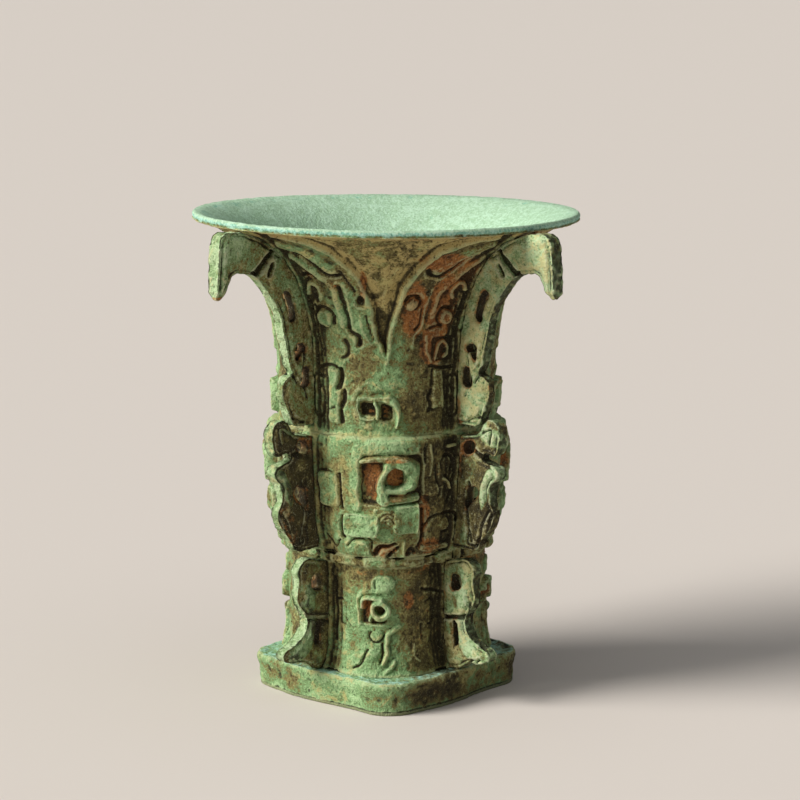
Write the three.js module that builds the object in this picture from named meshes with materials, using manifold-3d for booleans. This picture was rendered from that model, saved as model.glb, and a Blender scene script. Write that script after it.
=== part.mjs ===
// A small bronze wine cup in an archaic style. A round trumpet mouth stands on a body of
// rounded-square section, in three registers over a plinth. Pierced, hooked flanges run down the
// middle of the four faces, and curled horns sit on the four corners.
// Millimetres, +Z up, with the origin at the middle of the base. The faces look along X and Y.
import * as THREE from "three";
import { mergeVertices } from "three/addons/utils/BufferGeometryUtils.js";
import Module from "manifold-3d";

const wasm = await Module();
wasm.setup();

// Heights of the registers, from the base up
const PLINTH_HEIGHT = 6;
const FOOT_HEIGHT = 20.7;
const FLOOR_THICKNESS = 2;
const BELLY_HEIGHT = 22.6;
const NECK_HEIGHT = 38.7;

// Distances from the axis to the middle of a face and to a rounded corner
const PLINTH_FACE = 19.4;
const PLINTH_CORNER = 24.8;
const PLINTH_BORE_FACE = 13.4;
const PLINTH_BORE_CORNER = 16;
const FOOT_FACE = 16.2;
const FOOT_CORNER = 18.6;
const BELLY_FACE = 19.4;
const BELLY_CORNER = 21.5;
const NECK_FACE = 19.5;
const NECK_CORNER = 20.4;
const MOUTH_RADIUS = 36;

// How each outline leaves its register's own face
const PLINTH_DRAFT = 0.7;
const PLINTH_EDGE = 0.6;
const FOOT_FLARE = 1.4;
const FOOT_FLARE_HEIGHT = 8;
const BELLY_TUCK = 1.4;
const BELLY_TUCK_HEIGHT = 7;
const SHOULDER_SWELL = 0.7;
const SHOULDER_HEIGHT = 3.2;
const SHOULDER_ROUND = 0.8;
const WAIST_RISE = 7;
const FLARE_TURN = THREE.MathUtils.degToRad(80);
const FLARE_POWER = 2.4;

// Walls, seats and clearances
const FOOT_WALL = 2.2;
const BELLY_WALL = 2.6;
const NECK_WALL = 2.2;
const LIP_THICKNESS = 1.4;
const SEAT_GAP = 0.3;
const SPIGOT_DEPTH = 2.4;
const SPIGOT_WALL = 1.2;
const BOSS_HEIGHT = 1.2;

// Flanges, which stand in grooves of the shells on a thinner tenon
const FLANGE_THICKNESS = 3;
const TENON_THICKNESS = 1.6;
const TENON_DEPTH = 0.8;
const TENON_END = 1.5;
const NECK_FLANGE_RISE = 1.4;
const NECK_FLANGE_FALL = 0.5;
const BELLY_FLANGE_RISE = 0.7;
const FOOT_FLANGE_FALL = 0.4;
const HOOK_REACH = 6.4;
const HOOK_DROP = 11.6;
const HOOK_WIDTH = 3.6;
const BEAK_REACH = 10.8;
const TOE_REACH = 11.8;
const CARVED_EASE = 0.7;
const CARVED_EASE_SHARE = 0.45;

// Curled horns on the corners, each held by a round peg. A horn's centre is above its register's
// foot, its shift is to the right of the corner, and its eye is the curl's last size as a share.
const RELIEF = 1.7;
const PEG_RADIUS = 0.8;
const PEG_DEPTH = 1;
const NECK_HORN = { width: 8.4, height: 6.4, band: 1.7, centre: 5, shift: -0.7, sweep: 250, eye: 0.8 };
const BELLY_HORN = { width: 12.4, height: 9.6, band: 2, centre: 15.1, shift: 0.9, sweep: 430, eye: 0.28 };
const FOOT_HORN = { width: 5.9, height: 4.8, band: 1.25, centre: 12.5, shift: -2, sweep: 300, eye: 0.75 };
const HORN_START = 160;
const HORN_CURL = 1.5;
const HORN_TAPER = 0.6;
const HORN_SQUARENESS = 2.8;
const SNOUT = { width: 14, height: 5.8, centre: 7.5, shift: -1.2, ends: 0.55, notch: 1.6, notchReach: 0.3 };

// The sunk fields between the blades of the neck
const BLADE_SINK = 0.7;
const BLADE_TIP_RISE = 14;
const BLADE_END = 0.4;
const BLADE_SPREAD = THREE.MathUtils.degToRad(38);
const BLADE_CURVE = 2.3;
const BORDER = { start: 0.12, width: 1, flare: 0.9, height: 0.45 };

// Cast relief of the shells. A band runs through places given by degrees from the corner and
// distance up the outline, and it stands proud, or is cut in where its height is below nothing.
const RELIEF_ROOT = 1;
const TONGUE = { line: [[38, 39], [31, 36.8], [25, 34], [21, 31.8]], width: 1.9, height: 0.4 };
const STEM = { line: [[38, 35], [31, 31.2], [25.2, 28.4], [22.6, 25], [22, 20.4]], width: 0.9, height: 0.4 };
const CURL = { line: [[30.7, 20.6], [30.7, 23.4]], width: 2.8, height: 0.35 };
const LEG = { line: [[27.6, 3], [27.6, 12.2]], width: 2.3, height: 0.35 };
const NECK_RELIEF = [TONGUE, STEM, CURL, LEG];
const BELLY_FRAME = {
  line: [[14.6, 21.1], [-9, 21.3], [-15.6, 19.8], [-17.4, 16.8], [-17.4, 11.2]],
  width: 1.5,
  height: 0.5,
};
const BELLY_BLOCK = { line: [[-31.3, 9.6], [-31.3, 15.4]], width: 4.7, height: 0.4 };
const BELLY_CHEEK = { line: [[-12.6, 0.9], [-12.6, 4]], width: 4, height: 0.5 };
const BELLY_BOSS = { line: [[24.2, 11.9], [24.2, 14.1]], width: 2.2, height: 0.45 };
const BELLY_PANEL = {
  line: [[17, 2], [19.8, 5.6], [23.4, 7.4], [30, 7.9], [40, 7.8]],
  width: 0.7,
  height: -0.5,
};
const BELLY_RELIEF = [BELLY_FRAME, BELLY_BLOCK, BELLY_CHEEK, BELLY_BOSS, BELLY_PANEL];

// Fineness of the curved surfaces
const STEPS_PER_EIGHTH = 5;
const CORNER_CROWDING = 1.25;
const FOOT_STEPS = 4;
const FLARE_STEPS = 9;
const HORN_STEPS = 14;
const SNOUT_STEPS = 10;
const BLADE_STEPS = 8;
const BLADE_COLUMNS = 6;
const PEG_SIDES = 6;
const FACETS_MERGE_WITHIN = 0.02;

const PLINTH_TOP = PLINTH_HEIGHT;
const FOOT_TOP = PLINTH_TOP + FOOT_HEIGHT;
const FLOOR_TOP = FOOT_TOP + FLOOR_THICKNESS;
const BELLY_TOP = FLOOR_TOP + BELLY_HEIGHT;
const LIP_TOP = BELLY_TOP + NECK_HEIGHT;

const BRONZE = {
  mouth: { color: 0x9db39c, roughness: 0.82, metalness: 0.2 },
  body: { color: 0x6f8462, roughness: 0.85, metalness: 0.2 },
  flange: { color: 0x8a9c78, roughness: 0.8, metalness: 0.2 },
  horn: { color: 0x84996f, roughness: 0.8, metalness: 0.2 },
  floor: { color: 0x7f765a, roughness: 0.9, metalness: 0.15 },
};
const SIDES = ["front", "right", "back", "left"];
const CORNERS = ["front_right", "back_right", "back_left", "front_left"];

// Angles round a section, closer together where its corners turn
const ANGLES = [];
for (let quarter = 0; quarter < 4; quarter++) {
  for (let step = 0; step < 2 * STEPS_PER_EIGHTH; step++) {
    const fromCorner = 1 - step / STEPS_PER_EIGHTH;
    const lean = Math.sign(fromCorner) * Math.abs(fromCorner) ** CORNER_CROWDING;
    ANGLES.push((Math.PI / 2) * quarter + (Math.PI / 4) * (1 - lean));
  }
}

// Radius of a rounded-square section in one direction; it is round when face equals corner
function sectionRadius(face, corner, angle) {
  const quarter = Math.PI / 2;
  const turn = Math.abs(angle - quarter * Math.round(angle / quarter));
  const round = (face * Math.SQRT2 - corner) / (Math.SQRT2 - 1);
  const flat = face - round;
  if (face * Math.tan(turn) <= flat) return face / Math.cos(turn);
  const centre = flat * Math.SQRT2;
  const lean = quarter / 2 - turn;
  return centre * Math.cos(lean) + Math.sqrt(round ** 2 - (centre * Math.sin(lean)) ** 2);
}

// A station is a section's face distance, corner distance and height
function shifted([face, corner, z], by) {
  return [face + by, corner + by, z];
}

// Turns a three.js geometry into a solid for joining and cutting
function solidOf(geometry) {
  const bare = geometry.clone();
  bare.deleteAttribute("normal");
  bare.deleteAttribute("uv");
  const merged = mergeVertices(bare);
  const corners = merged.index.array;
  const kept = [];
  for (let i = 0; i < corners.length; i += 3) {
    const [a, b, c] = [corners[i], corners[i + 1], corners[i + 2]];
    if (a !== b && b !== c && c !== a) kept.push(a, b, c);
  }
  return new wasm.Manifold(
    new wasm.Mesh({
      numProp: 3,
      vertProperties: merged.attributes.position.array,
      triVerts: new Uint32Array(kept),
    }),
  );
}

// Turns a solid back into a geometry with flat facets, joining those that nearly lie in one plane
function geometryOf(solid) {
  const { vertProperties, triVerts } = solid.asOriginal().simplify(FACETS_MERGE_WITHIN).getMesh();
  const geometry = new THREE.BufferGeometry();
  geometry.setAttribute("position", new THREE.BufferAttribute(vertProperties, 3));
  geometry.setIndex(new THREE.BufferAttribute(triVerts, 1));
  const faceted = geometry.toNonIndexed();
  faceted.computeVertexNormals();
  return faceted;
}

// Joins sections into one closed skin: up the outside, down the inside and back to the start
function loft(stations) {
  const positions = stations.flatMap(([face, corner, z]) =>
    ANGLES.flatMap((angle) => {
      const radius = sectionRadius(face, corner, angle);
      return [radius * Math.cos(angle), radius * Math.sin(angle), z];
    }),
  );
  const around = ANGLES.length;
  const index = [];
  stations.forEach((_, ring) => {
    const next = (ring + 1) % stations.length;
    for (let j = 0; j < around; j++) {
      const k = (j + 1) % around;
      const [a, b] = [ring * around + j, ring * around + k];
      const [c, d] = [next * around + k, next * around + j];
      index.push(a, b, c, a, c, d);
    }
  });
  const geometry = new THREE.BufferGeometry();
  geometry.setAttribute("position", new THREE.Float32BufferAttribute(positions, 3));
  geometry.setIndex(index);
  return solidOf(geometry);
}

// A slab cut to a shape drawn upright, seen from the front; it reaches from near to far along -Y
function uprightPrism(shape, near, far) {
  const slab = new THREE.ExtrudeGeometry(shape, {
    depth: far - near,
    bevelEnabled: false,
  });
  slab.rotateX(Math.PI / 2);
  slab.translate(0, -near, 0);
  return solidOf(slab);
}

// The same solid turned about the axis by a number of quarters
function turned(solid, quarters) {
  return solid.rotate([0, 0, 90 * quarters]);
}

// Outlines of the registers, from their lower edge to their upper edge
function footOutline() {
  const flare = Array.from({ length: FOOT_STEPS }, (_, i) => {
    const fall = 1 - i / FOOT_STEPS;
    return [
      FOOT_FACE + FOOT_FLARE * fall ** 2,
      FOOT_CORNER + FOOT_FLARE * fall ** 2,
      PLINTH_TOP + FOOT_FLARE_HEIGHT * (1 - fall),
    ];
  });
  return [
    ...flare,
    [FOOT_FACE, FOOT_CORNER, PLINTH_TOP + FOOT_FLARE_HEIGHT],
    [FOOT_FACE, FOOT_CORNER, FOOT_TOP],
  ];
}

function bellyOutline() {
  return [
    [BELLY_FACE - BELLY_TUCK, BELLY_CORNER - BELLY_TUCK, FLOOR_TOP],
    [BELLY_FACE - BELLY_TUCK / 3, BELLY_CORNER - BELLY_TUCK / 3, FLOOR_TOP + BELLY_TUCK_HEIGHT / 2],
    [BELLY_FACE, BELLY_CORNER, FLOOR_TOP + BELLY_TUCK_HEIGHT],
    [BELLY_FACE + SHOULDER_SWELL, BELLY_CORNER + SHOULDER_SWELL, BELLY_TOP - SHOULDER_HEIGHT],
    [BELLY_FACE + SHOULDER_SWELL, BELLY_CORNER + SHOULDER_SWELL, BELLY_TOP - SHOULDER_ROUND],
    [BELLY_FACE, BELLY_CORNER, BELLY_TOP],
  ];
}

// The trumpet follows a superellipse that leaves the waist upright and nears level at the lip
function neckOutline() {
  const rise = LIP_TOP - LIP_THICKNESS - BELLY_TOP - WAIST_RISE;
  const outward = (turn) => 1 - Math.cos(turn) ** (2 / FLARE_POWER);
  const upward = (turn) => Math.sin(turn) ** (2 / FLARE_POWER);
  const flare = Array.from({ length: FLARE_STEPS }, (_, i) => {
    const turn = (FLARE_TURN * (i + 1)) / FLARE_STEPS;
    const out = outward(turn) / outward(FLARE_TURN);
    return [
      THREE.MathUtils.lerp(NECK_FACE, MOUTH_RADIUS, out),
      THREE.MathUtils.lerp(NECK_CORNER, MOUTH_RADIUS, out),
      BELLY_TOP + WAIST_RISE + (rise * upward(turn)) / upward(FLARE_TURN),
    ];
  });
  return [
    [NECK_FACE, NECK_CORNER, BELLY_TOP],
    [NECK_FACE, NECK_CORNER, BELLY_TOP + WAIST_RISE],
    ...flare,
  ];
}

// Unit directions square to an outline's face line, pointing outwards, one at each station
function outwardNormals(outline) {
  return outline.map((_, i) => {
    const [low, high] = [outline[Math.max(i - 1, 0)], outline[Math.min(i + 1, outline.length - 1)]];
    return new THREE.Vector2(high[2] - low[2], low[0] - high[0]).normalize();
  });
}

// The outline moved square to itself by a distance, or by a distance for each station
function parallel(outline, distance) {
  const normals = outwardNormals(outline);
  return outline.map(([face, corner, z], i) => {
    const by = typeof distance === "function" ? distance(i) : distance;
    return [face + by * normals[i].x, corner + by * normals[i].x, z + by * normals[i].y];
  });
}

const foot = footOutline();
const belly = bellyOutline();
const neck = neckOutline();

// Bores of the shells, which the spigots and bosses enter
const footBore = [FOOT_FACE - FOOT_WALL, FOOT_CORNER - FOOT_WALL];
const bellyBore = [BELLY_FACE - BELLY_WALL, BELLY_CORNER - BELLY_WALL];
const plinthBore = [PLINTH_BORE_FACE, PLINTH_BORE_CORNER];

// A ring that hangs below a shell into the bore of the next piece down
function spigot([face, corner], seat) {
  const outside = [face, corner, seat];
  return [
    shifted([face, corner, seat + SPIGOT_WALL], -SEAT_GAP - SPIGOT_WALL),
    shifted([face, corner, seat - SPIGOT_DEPTH], -SEAT_GAP - SPIGOT_WALL),
    shifted([face, corner, seat - SPIGOT_DEPTH], -SEAT_GAP),
    shifted(outside, -SEAT_GAP),
  ];
}

function plinthSolid() {
  const outside = [PLINTH_FACE, PLINTH_CORNER, 0];
  const bore = [...plinthBore, 0];
  return loft([
    shifted(outside, -PLINTH_DRAFT),
    [PLINTH_FACE, PLINTH_CORNER, PLINTH_TOP - PLINTH_EDGE],
    shifted([PLINTH_FACE, PLINTH_CORNER, PLINTH_TOP], -PLINTH_EDGE),
    [...plinthBore, PLINTH_TOP],
    bore,
  ]);
}

function footSolid() {
  const [face, corner] = footBore;
  return loft([
    ...foot,
    [face, corner, FOOT_TOP],
    [face, corner, PLINTH_TOP + FOOT_FLARE_HEIGHT / 2],
    ...spigot(plinthBore, PLINTH_TOP),
  ]);
}

// The cup's floor lies between foot and belly, with a boss down into one and up into the other
function floorSolid() {
  const rim = [BELLY_FACE - BELLY_TUCK, BELLY_CORNER - BELLY_TUCK];
  const lower = footBore.map((size) => size - SEAT_GAP);
  const upper = bellyBore.map((size) => size - SEAT_GAP);
  return loft([
    [0, 0, FOOT_TOP - BOSS_HEIGHT],
    [...lower, FOOT_TOP - BOSS_HEIGHT],
    [...lower, FOOT_TOP],
    shifted([...rim, FOOT_TOP], -PLINTH_EDGE),
    [...rim, FOOT_TOP + PLINTH_EDGE],
    [...rim, FLOOR_TOP],
    [...upper, FLOOR_TOP],
    [...upper, FLOOR_TOP + BOSS_HEIGHT],
    [0, 0, FLOOR_TOP + BOSS_HEIGHT],
  ]);
}

function bellySolid() {
  return loft([...belly, [...bellyBore, BELLY_TOP], [...bellyBore, FLOOR_TOP]]);
}

function neckSolid() {
  const last = neck.length - 1;
  const wall = (i) => -THREE.MathUtils.lerp(NECK_WALL, LIP_THICKNESS, i / last);
  const inside = parallel(neck, wall).slice(1).reverse();
  const [lipFace, lipCorner, lipUnder] = neck[last];
  const round = LIP_THICKNESS / 3;
  return loft([
    ...neck.slice(0, last),
    [lipFace - round, lipCorner - round, lipUnder],
    [lipFace, lipCorner, lipUnder + round],
    [lipFace, lipCorner, LIP_TOP - round],
    [lipFace - round, lipCorner - round, LIP_TOP],
    ...inside,
    ...spigot(bellyBore, BELLY_TOP),
  ]);
}

// The part of an outline between two heights, as points of face distance and height
function stretch(outline, low, high) {
  const between = outline.filter(([, , z]) => z > low && z < high);
  return [placeAt(outline, low).station, ...between, placeAt(outline, high).station];
}

const flatLine = (stations) => stations.map(([face, , z]) => [face, z]);

// A closed shape along a fixed line and then round carved corners, each eased by a short flat
function carvedShape(line, carved) {
  const shape = new THREE.Shape(line.map(([x, y]) => new THREE.Vector2(x, y)));
  const points = [line.at(-1), ...carved, line[0]];
  for (let i = 1; i < points.length - 1; i++) {
    const [before, at, after] = points.slice(i - 1, i + 2).map(([x, y]) => new THREE.Vector2(x, y));
    const enter = at.clone().lerp(before, Math.min(CARVED_EASE / at.distanceTo(before), CARVED_EASE_SHARE));
    const leave = at.clone().lerp(after, Math.min(CARVED_EASE / at.distanceTo(after), CARVED_EASE_SHARE));
    shape.lineTo(enter.x, enter.y);
    shape.lineTo(leave.x, leave.y);
  }
  shape.closePath();
  return shape;
}

// An opening with eased corners, drawn the other way round from the plate's outline
function carvedHole(drawn) {
  const clockwise = THREE.ShapeUtils.isClockWise(drawn.map(([x, y]) => new THREE.Vector2(x, y)));
  const points = clockwise ? drawn.toReversed() : drawn;
  const middle = points[0].map((value, i) => (value + points[1][i]) / 2);
  return carvedShape([middle], [...points.slice(1), points[0]]);
}

// A plate that stands out from the front face, with its tenon, and the cutter of its groove
function flangePair(outline, low, high, carved, holes) {
  const root = flatLine(stretch(parallel(outline, SEAT_GAP), low, high));
  const shape = carvedShape(root, carved);
  shape.holes = holes.map(carvedHole);
  const strip = (from, to, margin) => {
    const span = [low + TENON_END - margin, high - TENON_END + margin];
    const near = flatLine(stretch(parallel(outline, from), ...span));
    const far = flatLine(stretch(parallel(outline, to), ...span));
    return new THREE.Shape([...near, ...far.reverse()].map(([x, y]) => new THREE.Vector2(x, y)));
  };
  const plate = (drawn, thickness) => uprightPrism(drawn, -thickness / 2, thickness / 2);
  const tenon = plate(strip(-TENON_DEPTH, 2 * SEAT_GAP, 0), TENON_THICKNESS);
  const groove = strip(-TENON_DEPTH - SEAT_GAP, SEAT_GAP, SEAT_GAP);
  return {
    flange: plate(shape, FLANGE_THICKNESS).add(tenon),
    cutter: plate(groove, TENON_THICKNESS + 2 * SEAT_GAP),
  };
}

// Points of a flange are given by how far they stand out and by their share of its height
function placer(face, low, high) {
  return (out, share) => [face + out, THREE.MathUtils.lerp(low, high, share)];
}

function neckFlange() {
  const low = BELLY_TOP + NECK_FLANGE_RISE;
  const high = LIP_TOP - LIP_THICKNESS - NECK_FLANGE_FALL;
  const at = placer(NECK_FACE, BELLY_TOP, LIP_TOP);
  const hook = MOUTH_RADIUS + HOOK_REACH;
  const top = LIP_TOP - LIP_THICKNESS;
  const tip = top - HOOK_DROP;
  const carved = [
    [MOUTH_RADIUS + 0.5, top],
    [hook - 1.2, top],
    [hook - 0.2, top - 2],
    [hook + 0.4, tip + 1],
    [hook - 0.6, tip],
    [hook - HOOK_WIDTH / 2, tip + 2.4],
    [hook - HOOK_WIDTH, tip + 5],
    at(14.5, 0.775),
    at(12.6, 0.735),
    at(9.2, 0.625),
    at(8, 0.565),
    at(7.7, 0.52),
    at(6.6, 0.4),
    at(5.9, 0.315),
    at(5, 0.295),
    at(5, 0.283),
    at(7.3, 0.27),
    at(7.8, 0.19),
    at(6.5, 0.115),
    at(5.2, 0.036),
  ];
  const holes = [
    [at(8.2, 0.68), at(6.2, 0.69), at(4.9, 0.62), at(4.2, 0.535), at(6.4, 0.53), at(6.2, 0.585)],
    [at(2, 0.425), at(4.9, 0.43), at(4.9, 0.345), at(3.7, 0.345), at(3.4, 0.385), at(2, 0.385)],
    [at(1.2, 0.315), at(3, 0.32), at(3.1, 0.275), at(3.9, 0.27), at(3.7, 0.215), at(1.2, 0.215)],
  ];
  return flangePair(neck, low, high, carved, holes);
}

function bellyFlange() {
  const at = placer(BELLY_FACE, FLOOR_TOP, BELLY_TOP);
  const carved = [
    at(5.8, 1),
    at(7.2, 1.13),
    at(BEAK_REACH - 1, 1.12),
    at(BEAK_REACH, 1.03),
    at(BEAK_REACH - 0.6, 0.88),
    at(BEAK_REACH - 1.8, 0.82),
    at(BEAK_REACH - 3.2, 0.88),
    at(5.6, 0.8),
    at(BEAK_REACH - 0.4, 0.74),
    at(BEAK_REACH - 0.6, 0.66),
    at(BEAK_REACH - 2.4, 0.61),
    at(BEAK_REACH - 2.7, 0.44),
    at(BEAK_REACH - 1.4, 0.38),
    at(BEAK_REACH - 2.2, 0.26),
    at(5.5, 0.1),
    at(5.2, 0.03),
  ];
  const holes = [
    [at(1.8, 0.93), at(4.6, 0.95), at(4.9, 0.87), at(3.6, 0.82), at(1.7, 0.82)],
    [at(2.2, 0.55), at(5.4, 0.58), at(5.6, 0.5), at(3.6, 0.42), at(2.2, 0.34)],
  ];
  return flangePair(belly, FLOOR_TOP + BELLY_FLANGE_RISE, BELLY_TOP - SHOULDER_ROUND, carved, holes);
}

function footFlange() {
  const at = placer(FOOT_FACE, PLINTH_TOP, FOOT_TOP);
  const carved = [
    at(5.8, 1.05),
    at(7.8, 0.96),
    at(7.2, 0.86),
    at(7.8, 0.66),
    at(6.2, 0.56),
    at(5.2, 0.5),
    at(6, 0.36),
    at(8.6, 0.27),
    at(TOE_REACH - 0.6, 0.24),
    at(TOE_REACH, 0.17),
    at(TOE_REACH - 1.6, 0.12),
    at(6, 0.1),
    at(4, 0.02),
  ];
  const holes = [
    [at(2, 0.9), at(4.4, 0.88), at(4.8, 0.76), at(2, 0.72)],
    [at(2.2, 0.48), at(3.8, 0.46), at(4.2, 0.26), at(2.6, 0.2)],
  ];
  return flangePair(foot, PLINTH_TOP + SEAT_GAP, FOOT_TOP - FOOT_FLANGE_FALL, carved, holes);
}

// A place on an outline's surface at a height: the station there and its outward direction
function placeAt(outline, z) {
  const above = Math.max(outline.findIndex((station) => station[2] >= z), 1);
  const [a, b] = [outline[above - 1], outline[above]];
  const share = (z - a[2]) / (b[2] - a[2]);
  const normals = outwardNormals(outline);
  return {
    station: a.map((value, i) => THREE.MathUtils.lerp(value, b[i], share)),
    normal: normals[above - 1].clone().lerp(normals[above], share),
  };
}

// A point by its distance round the section from the front-facing corner, its height on the
// outline, and how far it stands off square to the surface
function pointOver(outline, [around, z], off) {
  const { station, normal } = placeAt(outline, z);
  const [face, corner, height] = station;
  const angle = around / corner;
  const out = off * normal.x;
  const radius = sectionRadius(face + out, corner + out, Math.PI / 4 + angle);
  return [radius * Math.sin(angle), -radius * Math.cos(angle), height + off * normal.y];
}

// A plate bent over the front-facing corner. Its rows hold equally many points, each a distance
// round the section and a height, and it is as deep as the step from near to far. Seen from
// outside, a turn from a row's own direction towards the next row runs anticlockwise.
function bentPlate(outline, rows, near, far) {
  const columns = rows[0].length;
  const layer = rows.length * columns;
  const places = rows.flat();
  const positions = [near, far].flatMap((off) => places.flatMap((p) => pointOver(outline, p, off)));
  const index = [];
  const quad = (a, b, c, d) => index.push(a, b, c, a, c, d);
  for (let i = 0; i < rows.length; i++) {
    for (let j = 0; j < columns; j++) {
      const at = i * columns + j;
      const up = at + columns;
      const [lastRow, lastColumn] = [i + 1 === rows.length, j + 1 === columns];
      if (!lastRow && !lastColumn) {
        quad(layer + at, layer + at + 1, layer + up + 1, layer + up);
        quad(up, up + 1, at + 1, at);
      }
      if (!lastRow && j === 0) quad(at, layer + at, layer + up, up);
      if (!lastRow && lastColumn) quad(up, layer + up, layer + at, at);
      if (!lastColumn && i === 0) quad(at + 1, layer + at + 1, layer + at, at);
      if (!lastColumn && lastRow) quad(at, layer + at, layer + at + 1, at + 1);
    }
  }
  const geometry = new THREE.BufferGeometry();
  geometry.setAttribute("position", new THREE.Float32BufferAttribute(positions, 3));
  geometry.setIndex(index);
  return solidOf(geometry);
}

// Rows across a band that runs along a squared spiral, from its outer end in to the eye
function spiralRows({ width, height, band, shift, sweep, eye }, middle) {
  const squared = (value) => Math.sign(value) * Math.abs(value) ** (2 / HORN_SQUARENESS);
  const along = (share) => {
    const angle = THREE.MathUtils.degToRad(HORN_START - sweep * share);
    const size = THREE.MathUtils.lerp(1, eye, share ** HORN_CURL);
    const across = THREE.MathUtils.lerp(squared(Math.cos(angle)), Math.cos(angle), share);
    const rise = THREE.MathUtils.lerp(squared(Math.sin(angle)), Math.sin(angle), share);
    return new THREE.Vector2(
      shift + ((width - band) / 2) * size * across,
      middle + ((height - band) / 2) * size * rise,
    );
  };
  const small = 0.5 / HORN_STEPS;
  return Array.from({ length: HORN_STEPS + 1 }, (_, step) => {
    const share = step / HORN_STEPS;
    const heading = along(Math.min(share + small, 1)).sub(along(Math.max(share - small, 0)));
    const across = new THREE.Vector2(heading.y, -heading.x).normalize();
    const half = (band / 2) * THREE.MathUtils.lerp(1, HORN_TAPER, share);
    return [-half, half].map((side) => along(share).addScaledVector(across, side).toArray());
  });
}

// A round peg that enters the shell at a place on its front-facing corner
function pegAt(corner, x, z, radius, inner, outer) {
  const peg = new THREE.CylinderGeometry(radius, radius, outer - inner, PEG_SIDES);
  peg.translate(x, -corner - (inner + outer) / 2, z);
  return solidOf(peg);
}

// A carved piece on the corner with its peg, and the cutter of the peg's socket
function cornerPair(outline, corner, rows, pegX, pegZ) {
  const piece = bentPlate(outline, rows, SEAT_GAP, SEAT_GAP + RELIEF);
  const peg = pegAt(corner, pegX, pegZ, PEG_RADIUS, -PEG_DEPTH, SEAT_GAP + RELIEF / 2);
  const cutter = pegAt(corner, pegX, pegZ, PEG_RADIUS + SEAT_GAP, -PEG_DEPTH - SEAT_GAP, RELIEF);
  return { piece: piece.add(peg), cutter };
}

// The peg of a horn stands behind the middle of its upper bar
function hornPair(outline, corner, seat, horn) {
  const middle = seat + horn.centre;
  const pegZ = middle + (horn.height - horn.band) / 2;
  return cornerPair(outline, corner, spiralRows(horn, middle), horn.shift, pegZ);
}

// The snout below the belly's horn: a block that narrows downwards and is notched for its mouth
function snoutPair() {
  const middle = FLOOR_TOP + SNOUT.centre;
  const rows = Array.from({ length: SNOUT_STEPS + 1 }, (_, step) => {
    const across = (2 * step) / SNOUT_STEPS - 1;
    const fall = step % SNOUT_STEPS === 0 ? SNOUT.ends : 1;
    const notch = SNOUT.notch * Math.max(1 - Math.abs(across) / SNOUT.notchReach, 0);
    const x = SNOUT.shift + (across * SNOUT.width) / 2;
    return [
      [x, middle + SNOUT.height / 2],
      [x, middle - (SNOUT.height / 2) * fall + notch],
    ];
  });
  return cornerPair(belly, BELLY_CORNER, rows, SNOUT.shift, middle + SNOUT.height / 4);
}

// A place on the edge between a blade of the neck and the sunk field beside it
function bladeEdge(share) {
  const tip = BELLY_TOP + BLADE_TIP_RISE;
  const z = THREE.MathUtils.lerp(tip, neck.at(-1)[2] - BLADE_END, share);
  return [placeAt(neck, z).station[1] * BLADE_SPREAD * share ** BLADE_CURVE, z];
}

// The sunk field between two blades, which widens from its tip up to the lip
function bladeCutter() {
  const rows = Array.from({ length: BLADE_STEPS + 1 }, (_, step) => {
    const [spread, z] = bladeEdge(step / BLADE_STEPS);
    return Array.from({ length: BLADE_COLUMNS + 1 }, (_, j) => [spread * ((2 * j) / BLADE_COLUMNS - 1), z]);
  });
  return bentPlate(neck, rows, -BLADE_SINK, BLADE_SINK);
}

// The raised border of a blade, on one side of a sunk field
function bladeBorder(side) {
  const rows = Array.from({ length: BLADE_STEPS }, (_, step) => {
    const share = THREE.MathUtils.lerp(BORDER.start, 1, step / (BLADE_STEPS - 1));
    const [spread, z] = bladeEdge(share);
    const row = [spread, spread + BORDER.width + BORDER.flare * share];
    return (side > 0 ? row : row.map((x) => -x).reverse()).map((x) => [x, z]);
  });
  return bentPlate(neck, rows, -RELIEF_ROOT, BORDER.height);
}

// The height of a place by its distance up an outline
function heightUp(outline, distance) {
  let left = distance;
  for (let i = 1; i < outline.length; i++) {
    const [from, to] = [outline[i - 1], outline[i]];
    const step = Math.hypot(to[0] - from[0], to[2] - from[2]);
    if (left <= step) return THREE.MathUtils.lerp(from[2], to[2], left / step);
    left -= step;
  }
  return outline.at(-1)[2];
}

// A band of cast relief on the front-facing corner, as drawn or with left and right changed over
function reliefBand(outline, { line, width, height }, side) {
  const places = line.map(([degrees, up]) => {
    const corner = placeAt(outline, heightUp(outline, up)).station[1];
    return new THREE.Vector2(side * THREE.MathUtils.degToRad(degrees) * corner, up);
  });
  const rows = places.map((place, i) => {
    const [before, after] = [places[Math.max(i - 1, 0)], places[Math.min(i + 1, places.length - 1)]];
    const heading = after.clone().sub(before);
    const across = new THREE.Vector2(heading.y, -heading.x).setLength(width / 2);
    return [-1, 1].map((edge) => {
      const { x, y } = place.clone().addScaledVector(across, edge);
      return [x, heightUp(outline, y)];
    });
  });
  const [near, far] = height > 0 ? [-RELIEF_ROOT, height] : [height, RELIEF_ROOT];
  return bentPlate(outline, rows, near, far);
}

const cup = new THREE.Group();

function addPiece(name, solid, finish) {
  const mesh = new THREE.Mesh(geometryOf(solid), new THREE.MeshStandardMaterial(finish));
  mesh.name = name;
  cup.add(mesh);
}

// Solids of the front face or the front-facing corner, repeated at all four and joined
function atFaces(solids) {
  return wasm.Manifold.union(SIDES.flatMap((_, i) => solids.map((solid) => turned(solid, i - 1))));
}

function atCorners(solids) {
  return wasm.Manifold.union(CORNERS.flatMap((_, i) => solids.map((solid) => turned(solid, i + 0.5))));
}

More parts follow.
